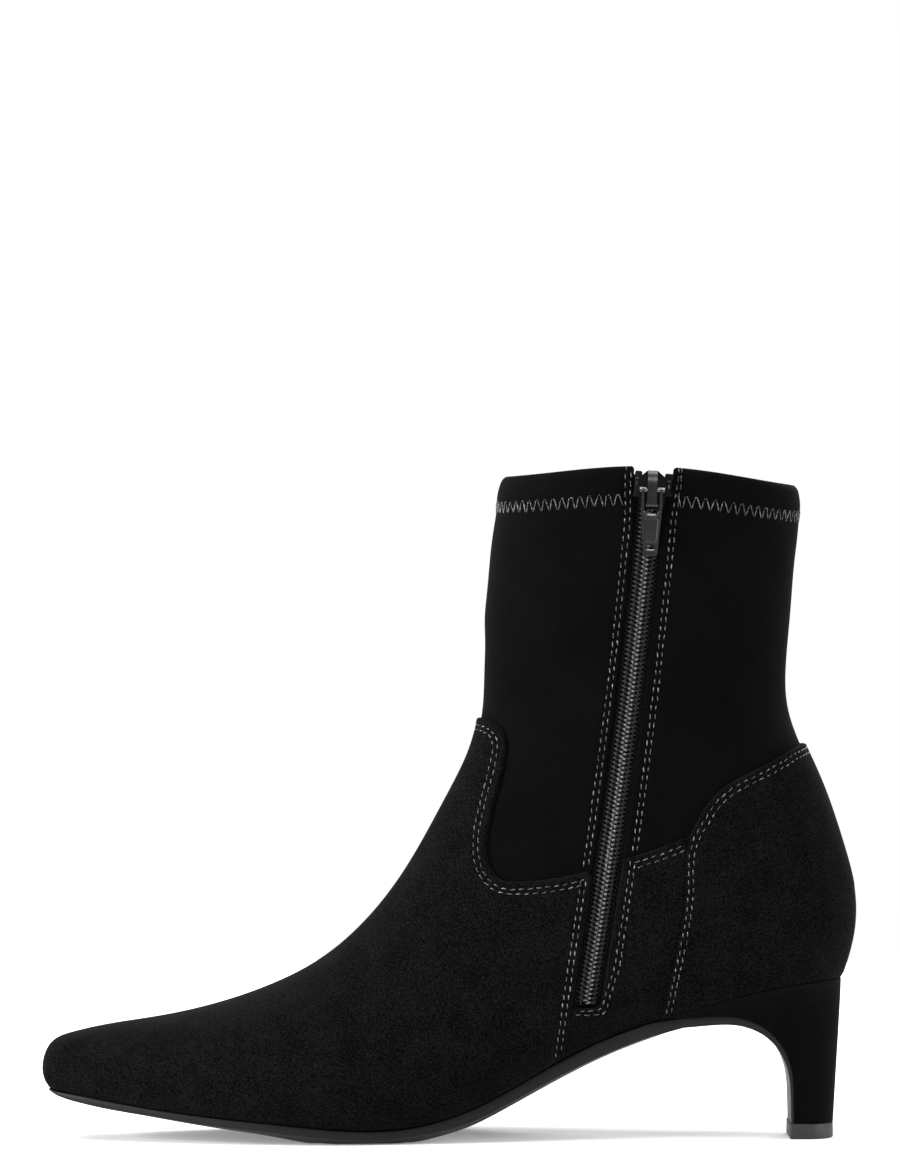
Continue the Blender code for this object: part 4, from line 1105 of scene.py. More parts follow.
class Thread:
    """Stitches of one thread, gathered in one mesh."""

    PITCH = 2.8
    SEEN = 1.8
    HALF_WIDTH = 0.22
    HALF_HEIGHT = 0.26
    SLANT = 0.10
    LIFT = 0.06
    VARIATION = 0.06
    FIRST = 0.3
    BEAD = (6, 5)
    SEED = 7

    def __init__(self) -> None:
        """Starts with no stitch."""
        self.beads: list[Array] = []
        self.chance = np.random.default_rng(self.SEED)

    def stitch(self, start: Array, end: Array, normal: Array, lift: float = LIFT) -> None:
        """Adds a rounded bead from start to end (mm), its ends sunk in the surface.

        Args:
            start: Where the thread comes up.
            end: Where it goes down.
            normal: The surface's normal.
            lift: How far its middle stands over the surface (mm).
        """
        along = Vector(end - start)
        out = Vector(normal).normalized()
        side = out.cross(along).normalized()
        out = along.cross(side).normalized()
        slant, shift, stretch = self.chance.normal(0, self.VARIATION, 3)
        turned = along * (1 + stretch) + side * along.length * (self.SLANT + slant)
        middle = Vector((start + end) / 2) + out * lift + side * shift
        self.beads.append(np.array([side * self.HALF_WIDTH, out * self.HALF_HEIGHT, turned / 2, middle]))

    def piece(self, name: str, material: Material) -> Piece:
        """Makes one piece of all the stitches, as copies of one bead.

        Args:
            name: The piece's name.
            material: The thread.

        Returns:
            The piece.
        """
        body = bmesh.new()
        bmesh.ops.create_uvsphere(body, u_segments=self.BEAD[0], v_segments=self.BEAD[1], radius=1.0)
        body.verts.index_update()
        bead = np.array([(*vert.co, 1.0) for vert in body.verts])
        faces = [[vert.index for vert in face.verts] for face in body.faces]
        body.free()
        points = (bead @ np.array(self.beads)).reshape(-1, 3) * MM
        copies = range(0, len(points), len(bead))
        mesh = bpy.data.meshes.new(name)
        polygons = [[i + start for i in face] for start in copies for face in faces]
        mesh.from_pydata(points.tolist(), [], polygons)
        return mesh_piece(name, mesh, material)

    def row(self, seam: Seam, within: Field) -> None:
        """Sews along a seam.

        Args:
            seam: The line.
            within: Positive where the row has stitches.
        """
        travel = run_lengths(seam.points[:, :3])
        for start in np.arange(self.FIRST, travel[-1] - self.SEEN, self.PITCH):
            stops = (start, start + self.SEEN / 2, start + self.SEEN)
            points = np.column_stack([np.interp(stops, travel, column) for column in seam.points.T])
            if within(points).min() < 0:
                continue
            normal = np.array([np.interp(stops[1], travel, column) for column in seam.normals.T])
            self.stitch(points[0, :3], points[2, :3], normal)

    def sew(self, sheet: Sheet, lines: Sequence[CutRow]) -> None:
        """Sews along all the rows cut into a sheet, once it has its final shape."""
        for row, runs in lines:
            for seam in sheet.seams(runs):
                self.row(seam, row.within)


def cut_rows(sheet: Sheet, rows: Sequence[StitchRow]) -> list[CutRow]:
    """Cuts each row's line into a sheet, with a line on either side for its groove.

    Args:
        sheet: The sheet to cut.
        rows: The rows.

    Returns:
        Each row with its points.
    """
    lines = []
    for row in rows:
        for side in (-GROOVE_REACH, GROOVE_REACH):
            sheet.imprint(row.gap(sheet.places()) + side)
        lines.append((row, sheet.imprint(row.gap(sheet.places()))))
    return lines


def grooves(places: Array, rows: Sequence[StitchRow]) -> Array:
    """How far the tight rows pull each point in (mm)."""
    total = np.zeros(len(places))
    for row in rows:
        pull = np.exp(-((row.gap(places) / GROOVE_WIDTH) ** 2))
        total += GROOVE_DEPTH * np.where(row.within(places) > -GROOVE_RUN_OUT, pull, 0.0)
    return total


def rounded_edge(gap: Array, reach: float) -> Array:
    """A quarter round from 0 at the edge to 1 at reach."""
    return np.sqrt(1 - (1 - np.clip(gap, 0, reach) / reach) ** 2)


@dataclass
class Upper:
    """The stretch shaft with its lining, hem and the rows beside the zip (mm)."""

    last: Last
    plan: SidePlan
    base: Sheet
    thread: Thread
    edge_levels: tuple[float, ...] = (0.2, 0.55, 1.1)
    edge_drop: float = 0.75
    collar_levels: tuple[float, ...] = (0.2, 0.55, 1.1, 1.8, 2.6)
    collar_drop: float = 1.4
    corner_round: float = 1.2
    corner_ease: float = 0.02
    hem_depth: float = 10.2
    hem_height: float = 0.28
    hem_fade: float = 3.5
    hem_groove: Pair = (0.16, 1.7)
    hem_swell: float = 0.45
    zigzag_depths: Pair = (8.8, 12.9)
    zigzag_step: float = 1.54
    zigzag_top: float = 0.35
    zigzag_sink: float = 0.25
    zigzag_lift: float = 0.05
    zigzag_ends: Pair = (-7.9, 6.9)
    row_clear: float = 0.2
    wall_ease: float = 0.1

    def above_panels(self, places: Array) -> Array:
        """Positive above the panels, on the zip's side."""
        plan = self.plan
        panels = np.maximum(plan.vamp(places), np.maximum(plan.quarter(places), plan.counter(places)))
        return np.where(places[:, Column.Y] < 0, -panels - self.row_clear, -FAR)

    def rows(self) -> list[StitchRow]:
        """The rows beside the zip, above the panels."""
        return [
            StitchRow(partial(self.plan.zip_row, row=row), self.above_panels)
            for row in FRONT_ROWS + BACK_ROWS
        ]

    def build(self, cloth: Material, lining: Material) -> None:
        """Makes the shaft's piece and sews its rows.

        Args:
            cloth: The outside.
            lining: The inside.
        """
        plan = self.plan
        sheet = self.base.copy()
        sheet.trim(plan.slot)
        for level in self.edge_levels:
            sheet.imprint(plan.slot(sheet.places()) - level)
        for level in self.collar_levels:
            sheet.imprint(sheet.places()[:, Column.DEPTH] - level)
        sheet.trim(self.corner)
        rows = self.rows()
        lines = cut_rows(sheet, rows)
        places = sheet.places()
        sheet.raise_by(self.heights(places) - grooves(places, rows))
        self.thread.sew(sheet, lines)
        self.sew_hem(sheet.tree())
        piece = new_piece("stretch_shaft", sheet.body, [cloth, lining])
        thicken(piece, UPPER_WALL - self.wall_ease, 1)
        place_piece(piece, "boot", "stretch_cloth", "upper")

    def heights(self, places: Array) -> Array:
        """How far the cloth stands off the last: rounded edges, and a hem that swells a little.

        Args:
            places: The points.

        Returns:
            Heights (mm), without the grooves of the rows.
        """
        depths = places[:, Column.DEPTH]
        heights = -self.edge_drop * (1 - rounded_edge(self.plan.slot(places), self.edge_levels[-1]))
        heights -= self.collar_drop * (1 - rounded_edge(depths, self.collar_levels[-1]))
        below = depths - self.hem_depth
        groove, width = self.hem_groove
        heights += self.hem_height * (1 - smooth_step(below / self.hem_fade))
        heights -= groove * np.exp(-((below / width) ** 2))
        heights += self.hem_swell * np.clip(1 - (2 * depths / self.hem_depth - 1) ** 2, 0, 1)
        return heights

    def corner(self, places: Array) -> Array:
        """Positive where the collar's corners at the slot leave cloth once they are rounded."""
        sideways = np.maximum(self.corner_round - self.plan.slot(places), 0)
        upward = np.maximum(self.corner_round - places[:, Column.DEPTH], 0)
        return self.corner_round + self.corner_ease - np.hypot(sideways, upward)

    def sew_hem(self, tree: BVHTree) -> None:
        """Runs the zigzag round the collar, from one side of the zip to the other."""
        upper, lower = [self.last.collar_ring(depth) for depth in self.zigzag_depths]
        travel = run_lengths((upper + lower) / 2)
        step, top = self.zigzag_step, self.zigzag_top
        for stop in np.arange(top, travel[-1] - 2 * step, 2 * step):
            stops = np.array([stop - top, stop + top, stop + step, stop + 2 * step - top])
            rings = (upper, upper, lower, upper)
            corners = np.array(
                [[np.interp(s, travel, ring[:, k]) for k in range(3)] for s, ring in zip(stops, rings)]
            )
            gaps = self.plan.lines[Column.ZIP].signed(corners)
            hits = [tree.find_nearest(Vector(corner) * MM) for corner in corners]
            places = [np.array(hit[0]) / MM for hit in hits]
            places[2] = places[2] - np.array(hits[2][1]) * self.zigzag_sink
            for i in range(3):
                pair = gaps[i : i + 2]
                if corners[i, 1] > 0 or pair.max() < self.zigzag_ends[0] or pair.min() > self.zigzag_ends[1]:
                    normal = np.array(hits[i][1])
                    self.thread.stitch(places[i], places[i + 1], normal, self.zigzag_lift)


@dataclass
class SuedePanels:
    """Vamp, quarters and counter, raised on the upper with rounded edges and sewn rows (mm)."""

    last: Last
    plan: SidePlan
    base: Sheet
    thread: Thread
    tab_margins: tuple[float, ...] = (2.5, 4.0)
    tab_end: float = -5.6
    top_margins: tuple[float, ...] = (2.0, 3.6)
    top_starts: Pair = (7.4, -3.8)
    counter_margins: tuple[Pair, ...] = ((1.0, 1.7), (2.4, 3.4))
    turn_start: float = 38.0
    row_clear: float = 0.4
    counter_clear: float = 0.3
    sole_clear: float = 1.2
    foot_reach: float = 1.6
    foot_low: float = 0.3
    turn_height: float = 0.4
    turn_in: float = 0.9
    turn_down: float = 0.55
    wall_ease: float = 0.15

    def vamp_rows(self) -> list[StitchRow]:
        """Two rows along the tab and two beside the zip."""
        tab = [
            StitchRow(
                lambda p, m=margin: p[:, Column.VAMP] - m,
                lambda p: np.minimum(self.tab_end - p[:, Column.ZIP], self.above_sole(p)),
            )
            for margin in self.tab_margins
        ]
        beside = [
            StitchRow(
                partial(self.plan.zip_row, row=row),
                lambda p: np.minimum(p[:, Column.VAMP] - self.row_clear, self.above_sole(p)),
            )
            for row in FRONT_ROWS
        ]
        return tab + beside

    def quarter_rows(self, side: int) -> list[StitchRow]:
        """Two rows along the top, and on the zip's side two that come down and turn under the slot.

        Args:
            side: -1 on the zip's side, 1 on the other.

        Returns:
            The rows.
        """
        plan = self.plan
        start = self.top_starts[side > 0]
        top = [
            StitchRow(
                lambda p, m=margin: p[:, Column.QUARTER] - m,
                lambda p: np.minimum(p[:, Column.ZIP] - start, -plan.counter(p) - self.counter_clear),
            )
            for margin in self.top_margins
        ]
        turned = [
            StitchRow(
                partial(plan.turned_row, row=row, height=height),
                lambda p: np.minimum(
                    p[:, Column.QUARTER] - self.row_clear, p[:, Column.X] - self.turn_start
                ),
            )
            for row, height in zip(BACK_ROWS, TURN_HEIGHTS)
        ]
        return top + turned if side < 0 else top

    def counter_rows(self) -> list[StitchRow]:
        """Two rows up the front and over the top."""
        return [
            StitchRow(partial(self.plan.counter_row, front=front, top=top), self.above_sole)
            for front, top in self.counter_margins
        ]

    def above_feather(self, places: Array) -> Array:
        """Heights above the feather edge."""
        return places[:, Column.Z] - self.last.feather_height(places[:, Column.X] - LAST_SHIFT[0])

    def above_sole(self, places: Array) -> Array:
        """Heights above where the rows end at the sole."""
        return self.above_feather(places) - self.sole_clear

    def panel(
        self,
        name: str,
        node: str,
        outline: Field,
        free: Field,
        height: float,
        rows: list[StitchRow],
        suede: Material,
    ) -> None:
        """Makes one panel's piece and sews its rows.

        Args:
            name: The piece's name.
            node: The solid it stands for.
            outline: Positive inside the panel.
            free: Positive inside the edges that are seen.
            height: How far the panel stands out from the upper's sheet.
            rows: Its stitch rows.
            suede: Its material.
        """
        sheet = self.base.copy()
        sheet.trim(outline)
        for level in EDGE_LEVELS:
            sheet.imprint(free(sheet.places()) - level)
        lines = cut_rows(sheet, rows)
        places = sheet.places()
        edge = EDGE_LOW + (1 - EDGE_LOW) * rounded_edge(free(places), EDGE_LEVELS[-1])
        foot = rounded_edge(self.above_feather(places), self.foot_reach)
        foot = self.foot_low + (1 - self.foot_low) * foot
        sheet.raise_by(height * np.minimum(edge, foot) - grooves(places, rows))
        self.thread.sew(sheet, lines)
        self.turn_under(sheet)
        piece = new_piece(name, sheet.body, [suede])
        thicken(piece, height - self.wall_ease)
        place_piece(piece, "boot", "suede", node)

    def turn_under(self, sheet: Sheet) -> None:
        """Turns the lower edge in and down, so that it meets the sole.

        Args:
            sheet: The panel.
        """
        body = sheet.body
        edges = []
        for edge in body.edges:
            if edge.is_boundary:
                ends = np.array([vert.co for vert in edge.verts]) / MM
                if (self.above_feather(ends) < self.turn_height).all():
                    edges.append(edge)
        made = bmesh.ops.extrude_edge_only(body, edges=edges)["geom"]
        for vert in made:
            if isinstance(vert, Vert):
                outward = Vector((vert.normal.x, vert.normal.y, 0.0))
                vert.co += (outward * -self.turn_in + Vector((0, 0, -self.turn_down))) * MM
        body.normal_update()

    def build(self, suede: Material) -> None:
        """Makes all four panels.

        Args:
            suede: Their material.
        """
        plan = self.plan
        self.panel("vamp_panel", "vamp", plan.vamp, plan.vamp, PANEL_HEIGHT, self.vamp_rows(), suede)
        for name, side in (("inner_quarter", -1), ("outer_quarter", 1)):
            rows = self.quarter_rows(side)
            outline = partial(plan.side_quarter, side=side)
            self.panel(f"{name}_panel", name, outline, plan.quarter_free, QUARTER_HEIGHT, rows, suede)
        rows = self.counter_rows()
        self.panel("counter_panel", "counter", plan.counter, plan.counter, COUNTER_HEIGHT, rows, suede)


def tube(name: str, runs: Sequence[Array], radii: Sequence[Any], sides: int = 1) -> bpy.types.Mesh:
    """Round wires along lines of points, as one mesh.

    Args:
        name: The mesh's name.
        runs: Lines of points (mm).
        radii: One radius, or one for each point, for each line (mm).
        sides: The bevel's resolution.

    Returns:
        The mesh.
    """
    curve = bpy.data.curves.new(name, "CURVE")
    curve.dimensions = "3D"
    curve.bevel_depth = MM
    curve.bevel_resolution = sides
    curve.use_fill_caps = True
    for points, radius in zip(runs, radii):
        spline = curve.splines.new("POLY")
        spline.points.add(len(points) - 1)
        widths = np.broadcast_to(radius, len(points))
        for place, point, width in zip(spline.points, points, widths):
            place.co = (*(point * MM), 1.0)
            place.radius = float(width)
    helper = bpy.data.objects.new(name, curve)
    mesh = bpy.data.meshes.new_from_object(helper)
    bpy.data.objects.remove(helper)
    bpy.data.curves.remove(curve)
    return mesh


def mesh_piece(name: str, mesh: bpy.types.Mesh, *materials: Material) -> Piece:
    """Makes a piece of a mesh that is ready."""
    body = bmesh.new()
    body.from_mesh(mesh)
    bpy.data.meshes.remove(mesh)
    return new_piece(name, body, materials)


class TapeEnd(NamedTuple):
    """A tape's folded end: its place across the zip, half-width and the height of its top (mm)."""

    reach: float
    half: float
    top: float


class Cord(NamedTuple):
    """A row of thread along a coil: its place across the zip, and its height on the upper (mm)."""

    reach: float
    height: float


@dataclass
class ZipFastener:
    """Two tapes behind the slot, and the two coils that mesh along the middle (mm)."""

    RAY_START = -95.0
    SMOOTHING = 9

    base: Sheet
    plan: SidePlan
    tree: BVHTree = field(init=False)
    pitch: float = 1.44
    coil_top: float = 203.0
    coil_end: float = 44.0
    coil_step: float = 0.72
    coil_points: int = 14
    coil_middle: float = 1.32
    coil_half: float = 1.62
    coil_low: float = -0.42
    coil_rise: float = 0.72
    coil_slope: float = 0.38
    coil_wire: float = 0.36
    head_lift: Pair = (0.25, 0.6)
    head_swell: Pair = (0.1, 0.35)
    # Band across the zip where the coil's faces take the painted glint
    head: Pair = (0.05, 0.95)
    cords: tuple[Cord, ...] = (Cord(-3.5, -1.35), Cord(-2.1, 0.35), Cord(2.1, 0.35), Cord(3.5, -1.35))
    cord_step: float = 0.24
    cord_wave: float = 0.22
    cord_wire: float = 0.22
    tape_top: float = 210.6
    tape_end: float = 40.0
    tape_step: float = 1.5
    tape_columns: int = 6
    tape_depth: float = UPPER_WALL + FIT_GAP
    tape_wall: float = 0.6
    half_gap: float = 0.35
    half_width: float = 9.0
    ends: tuple[TapeEnd, ...] = (TapeEnd(-4.85, 1.15, 212.3), TapeEnd(5.0, 1.5, 211.3))
    end_track: tuple[float, float, float] = (210.0, 204.0, 1.0)
    end_wall: float = 2.2
    end_sunk: float = 1.0
    end_round: float = 0.6
    stitch_drop: float = 2.4
    stitch_across: Pair = (-0.8, 0.7)
    stitch_down: Pair = (0.8, 2.4)

    def __post_init__(self) -> None:
        """Makes the search tree of the upper."""
        self.tree = self.base.tree()

    def line(self) -> Array:
        """Points (x, z) down the zip's middle."""
        return self.plan.lines[Column.ZIP].line[1:-1]

    def cast(self, x: float, z: float) -> tuple[Vector | None, Vector | None]:
        """The upper's point at (x, z) in side view and its normal, if there is one."""
        return self.tree.ray_cast(Vector((x, self.RAY_START, z)) * MM, Vector((0, 1, 0)))[:2]

    def track(self, top: float, end: float, step: float) -> tuple[Array, ...]:
        """Points down the zip with their axes.

        Args:
            top: Height to start at.
            end: Height to end at.
            step: Distance between points.

        Returns:
            Points, and unit vectors across, out and down, one row each.
        """
        line = self.line()
        order = np.argsort(line[:, 1])
        count = max(2, round((top - end) / step)) + 1
        heights = np.linspace(top, end, count)
        across = np.interp(heights, line[order, 1], line[order, 0])
        hits = [self.cast(x, z) for x, z in zip(across, heights)]
        points = np.array([hit for hit, _ in hits]) / MM
        out = np.array([normal for _, normal in hits])
        kernel = np.ones(self.SMOOTHING) / self.SMOOTHING
        edge = self.SMOOTHING // 2
        padded = np.pad(out, ((edge, edge), (0, 0)), mode="edge")
        out = np.column_stack([np.convolve(padded[:, k], kernel, "valid") for k in range(3)])
        down = np.gradient(points, axis=0)
        down /= np.linalg.norm(down, axis=1)[:, None]
        side = np.cross(out, down)
        side *= np.sign(side[:, :1])
        side /= np.linalg.norm(side, axis=1)[:, None]
        out = np.cross(side, down)
        out *= -np.sign(out[:, 1:2])
        return points, side, out, down

    def build(self, tape: Material, coil: Material, heads: Material, stitches: Thread) -> None:
        """Makes the tapes, the coils and the cords sewn along them.

        Args:
            tape: The tapes' material.
            coil: The coils' and their cords'.
            heads: The coils' where they mesh, the lighter nylon of the painted glint.
            stitches: The boot's thread, which also holds the tapes' ends.
        """
        for name, side in (("front", -1), ("back", 1)):
            self.build_tape(name, side, tape)
            self.build_coil(name, side, coil, heads)
        self.build_cords(coil)
        self.build_ends(stitches, tape)

    def build_ends(self, stitches: Thread, material: Material) -> None:
        """Makes the folded ends of the tapes beside the slider, with the stitches that hold them.

        Args:
            stitches: The boot's thread.
            material: The tapes' cloth.
        """
        points, across, out, down = self.track(*self.end_track)
        across, out, down = across[0], out[0], down[0]
        body = bmesh.new()
        for reach, half, top in self.ends:
            height = top - points[-1][2]
            middle = points[0] + across * reach - out * self.end_sunk
            middle[2] = top - height / 2
            columns = np.array([across * 2 * half, out * self.end_wall, down * height])
            place = Matrix.Translation(Vector(middle) * MM) @ (Matrix(columns).transposed() * MM).to_4x4()
            bmesh.ops.create_cube(body, size=1.0, matrix=place)
            knot = middle + out * (self.end_wall / 2)
            knot[2] = top - self.stitch_drop
            for axis, (start, stop) in ((across, self.stitch_across), (down, self.stitch_down)):
                stitches.stitch(knot + axis * start, knot + axis * stop, out)
        soften(body, list(body.edges), self.end_round)
        bmesh.ops.recalc_face_normals(body, faces=body.faces)
        place_piece(new_piece("folded_tape_ends", body, [material]), "boot", "zip_cloth")

    def build_tape(self, name: str, side: int, material: Material) -> None:
        """Makes one tape, which follows the upper's inside.

        Args:
            name: Front or back.
            side: -1 in front of the zip's middle, 1 behind it.
            material: Its cloth.
        """
        points, across, out, _ = self.track(self.tape_top, self.tape_end, self.tape_step)
        rows, columns = len(points) - 1, self.tape_columns
        reach = np.linspace(self.half_gap, self.half_width, columns + 1) * side
        body = new_grid(rows, columns)
        for vert, i, j in grid_places(body, rows, columns):
            flat = points[i] + across[i] * reach[j]
            hit, _ = self.cast(flat[0], flat[2])
            place = np.array(hit) / MM if hit else flat
            vert.co = Vector(place - out[i] * self.tape_depth) * MM
        body.normal_update()
        if sum(face.normal.y for face in body.faces) > 0:
            bmesh.ops.reverse_faces(body, faces=body.faces)
        piece = new_piece(f"woven_tape_{name}", body, [material])
        thicken(piece, self.tape_wall)
        place_piece(piece, "boot", "zip_cloth", f"zip_tape_{name}")

    def build_coil(self, name: str, side: int, *materials: Material) -> None:
        """Makes one coil: a flattened helix whose heads reach past the middle.

        Args:
            name: Front or back.
            side: -1 in front of the zip's middle, 1 behind it.
            materials: Its nylon along the legs, and the lighter copy that paints a glint on the heads.
        """
        points, across, out, _ = self.track(self.coil_top, self.coil_end, self.coil_step)
        travel = run_lengths(points)
        turns = int(travel[-1] / self.pitch)
        angle = np.linspace(0, 2 * math.pi * turns, turns * self.coil_points + 1)
        reach = side * (self.coil_middle + self.coil_half * np.cos(angle))
        lifted, swollen = [
            size * np.exp(-(((np.cos(angle) + 1) / width) ** 2))
            for size, width in (self.head_lift, self.head_swell)
        ]
        lift = self.coil_low + self.coil_rise * np.sin(angle) + lifted
        start = self.pitch / 2 if side > 0 else 0.0
        slope = self.coil_slope * (1 - np.abs(reach) / (self.coil_middle + self.coil_half))
        place = np.clip(angle / (2 * math.pi) * self.pitch + start + slope, 0, travel[-1])
        frame = [
            np.column_stack([np.interp(place, travel, rows[:, k]) for k in range(3)])
            for rows in (points, across, out)
        ]
        wire = frame[0] + frame[1] * reach[:, None] + frame[2] * lift[:, None]
        mesh = tube(f"coil_{name}", [wire], [self.coil_wire + swollen])
        piece = mesh_piece(f"nylon_coil_{name}", mesh, *materials)
        # Faces on the heads take the lighter nylon: a painted glint down the middle
        middles = np.array([face.center for face in piece.data.polygons]) / MM
        reach = side * self.plan.lines[Column.ZIP].signed(middles)
        glint_faces = (reach > self.head[0]) & (reach < self.head[1])
        piece.data.polygons.foreach_set("material_index", glint_faces.astype(np.int32))
        place_piece(piece, "boot", "zip_plastic", f"zip_coil_{name}")

    def build_cords(self, material: Material) -> None:
        """Makes the wavy rows of thread that hold the coils on their tapes.

        Args:
            material: The thread's nylon.
        """
        points, across, out, _ = self.track(self.coil_top, self.coil_end, self.cord_step)
        turn = 2 * math.pi * run_lengths(points) / self.pitch
        runs = []
        for reach, height in self.cords:
            wave = reach + self.cord_wave * np.sin(turn)
            lift = height + self.cord_wave * np.cos(turn)
            runs.append(points + across * wave[:, None] + out * lift[:, None])
        mesh = tube("coil_cords", runs, [self.cord_wire] * len(runs), 0)
        place_piece(mesh_piece("coil_cords", mesh, material), "boot", None)


class SliderFrame:
    """The slider's own axes: across the zip, up it and out from the upper."""

    LEAN = math.radians(2.0)
    HINGE_OUT = 3.4

    def __init__(self, hinge: Vector) -> None:
        """Sets the axes from the frame's hinge point.

        Args:
            hinge: The point (m).
        """
        lean = Matrix.Rotation(self.LEAN, 3, "Y")
        self.across = lean @ Vector((1, 0, 0))
        self.up = lean @ Vector((0, 0, 1))
        self.out = Vector((0, -1, 0))
        self.origin = hinge - self.out * self.HINGE_OUT * MM

    def face(self, across: float, up: float, out: float) -> Vector:
        """A point of an outline that is drawn as seen from outside."""
        return self.origin + (self.across * across + self.up * up + self.out * out) * MM

    def edge(self, up: float, out: float, across: float) -> Vector:
        """A point of an outline that is drawn as seen along the hinge."""
        return self.face(across, up, out)


# Two rounds on one side of an outline leave a little of it between them
ROUND_ROOM = 2.01


def rounded(points: Outline, radius: float, steps: int = 6) -> Outline:
    """Rounds the corners of an outline.

    Args:
        points: Its corners.
        radius: How far from a corner the round starts.
        steps: Points in each round.

    Returns:
        The new outline.
    """
    line = []
    count = len(points)
    for i, corner in enumerate(points):
        corner = np.array(corner, float)
        before = np.array(points[i - 1], float) - corner
        after = np.array(points[(i + 1) % count], float) - corner
        reach = min(radius, np.linalg.norm(before) / ROUND_ROOM, np.linalg.norm(after) / ROUND_ROOM)
        start = corner + before / np.linalg.norm(before) * reach
        end = corner + after / np.linalg.norm(after) * reach
        for t in np.linspace(0, 1, steps):
            line.append(tuple((1 - t) ** 2 * start + 2 * t * (1 - t) * corner + t * t * end))
    return line


def taper(half_top: float, top: float, half_end: float, end: float) -> Outline:
    """Corners of a symmetric four-sided outline, across and up."""
    return [(-half_top, top), (half_top, top), (half_end, end), (-half_end, end)]


def mirrored(half: Outline) -> Outline:
    """A whole outline from its right half, read from the top down."""
    return [(-a, b) for a, b in half[::-1] if a > 0] + list(half)


def prism(outline: Outline, low: float, high: float, place: Place, second: Outline | None = None) -> Body:
    """A closed body from a flat outline.

    Args:
        outline: Its corners.
        low: Depth of its first face.
        high: Depth of its second.
        place: Gives the point for a corner and a depth.
        second: Corners of the second face, if they differ.

    Returns:
        The body, its faces pointing out.
    """
    body = bmesh.new()
    corners = [place(a, b, low) for a, b in outline]
    targets = [place(a, b, high) for a, b in second or outline]
    face = body.faces.new([body.verts.new(corner) for corner in corners])
    for item in bmesh.ops.extrude_face_region(body, geom=[face])["geom"]:
        if isinstance(item, Vert):
            nearest = min(range(len(corners)), key=lambda i: (corners[i] - item.co).length)
            item.co = targets[nearest]
    bmesh.ops.recalc_face_normals(body, faces=body.faces)
    return body


# Which edges of a hard piece are softened, and in how many steps
SOFT_ANGLE = math.radians(32)
SOFT_STEPS = 2


class Join(Enum):
    """How a form meets the piece that it shapes."""

    ADD = "UNION"
    CUT = "DIFFERENCE"


def shape_piece(
    name: str,
    body: Body,
    forms: Sequence[tuple[Join, Body]],
    material: Material,
    bevel: float,
) -> Piece:
    """Shapes a hard piece with forms, and softens its edges.

    Args:
        name: The piece's name.
        body: What it starts from.
        forms: What is joined to it or cut from it, in order.
        material: Its material.
        bevel: Width of its softened edges (mm).

    Returns:
        The piece, with everything in its mesh.
    """
    piece = new_piece(name, body, [material])
    helpers = []
    for i, (join, form) in enumerate(forms):
        helper = new_piece(f"{name}_form_{i}", form, [])
        helpers.append(helper)
        modifier = piece.modifiers.new(f"form_{i}", "BOOLEAN")
        modifier.operation = join.value
        modifier.solver = "EXACT"
        modifier.object = helper
    softening = piece.modifiers.new("soft_edges", "BEVEL")
    softening.width = bevel * MM
    softening.segments = SOFT_STEPS
    softening.limit_method = "ANGLE"
    softening.angle_limit = SOFT_ANGLE
    softening.harden_normals = True
    bpy.context.view_layer.update()
    shaped = piece.evaluated_get(bpy.context.evaluated_depsgraph_get())
    mesh = bpy.data.meshes.new_from_object(shaped)
    piece.modifiers.clear()
    before = piece.data
    piece.data = mesh
    bpy.data.meshes.remove(before)
    mesh.name = name
    for helper in helpers:
        data = helper.data
        bpy.data.objects.remove(helper)
        bpy.data.meshes.remove(data)
    return piece


class Hollow(NamedTuple):
    """A sunk place in the pull's face: tapers of its floor and rim, their corners and its depth (mm)."""

    floor: Sizes
    rim: Sizes
    corner: float
    depth: float


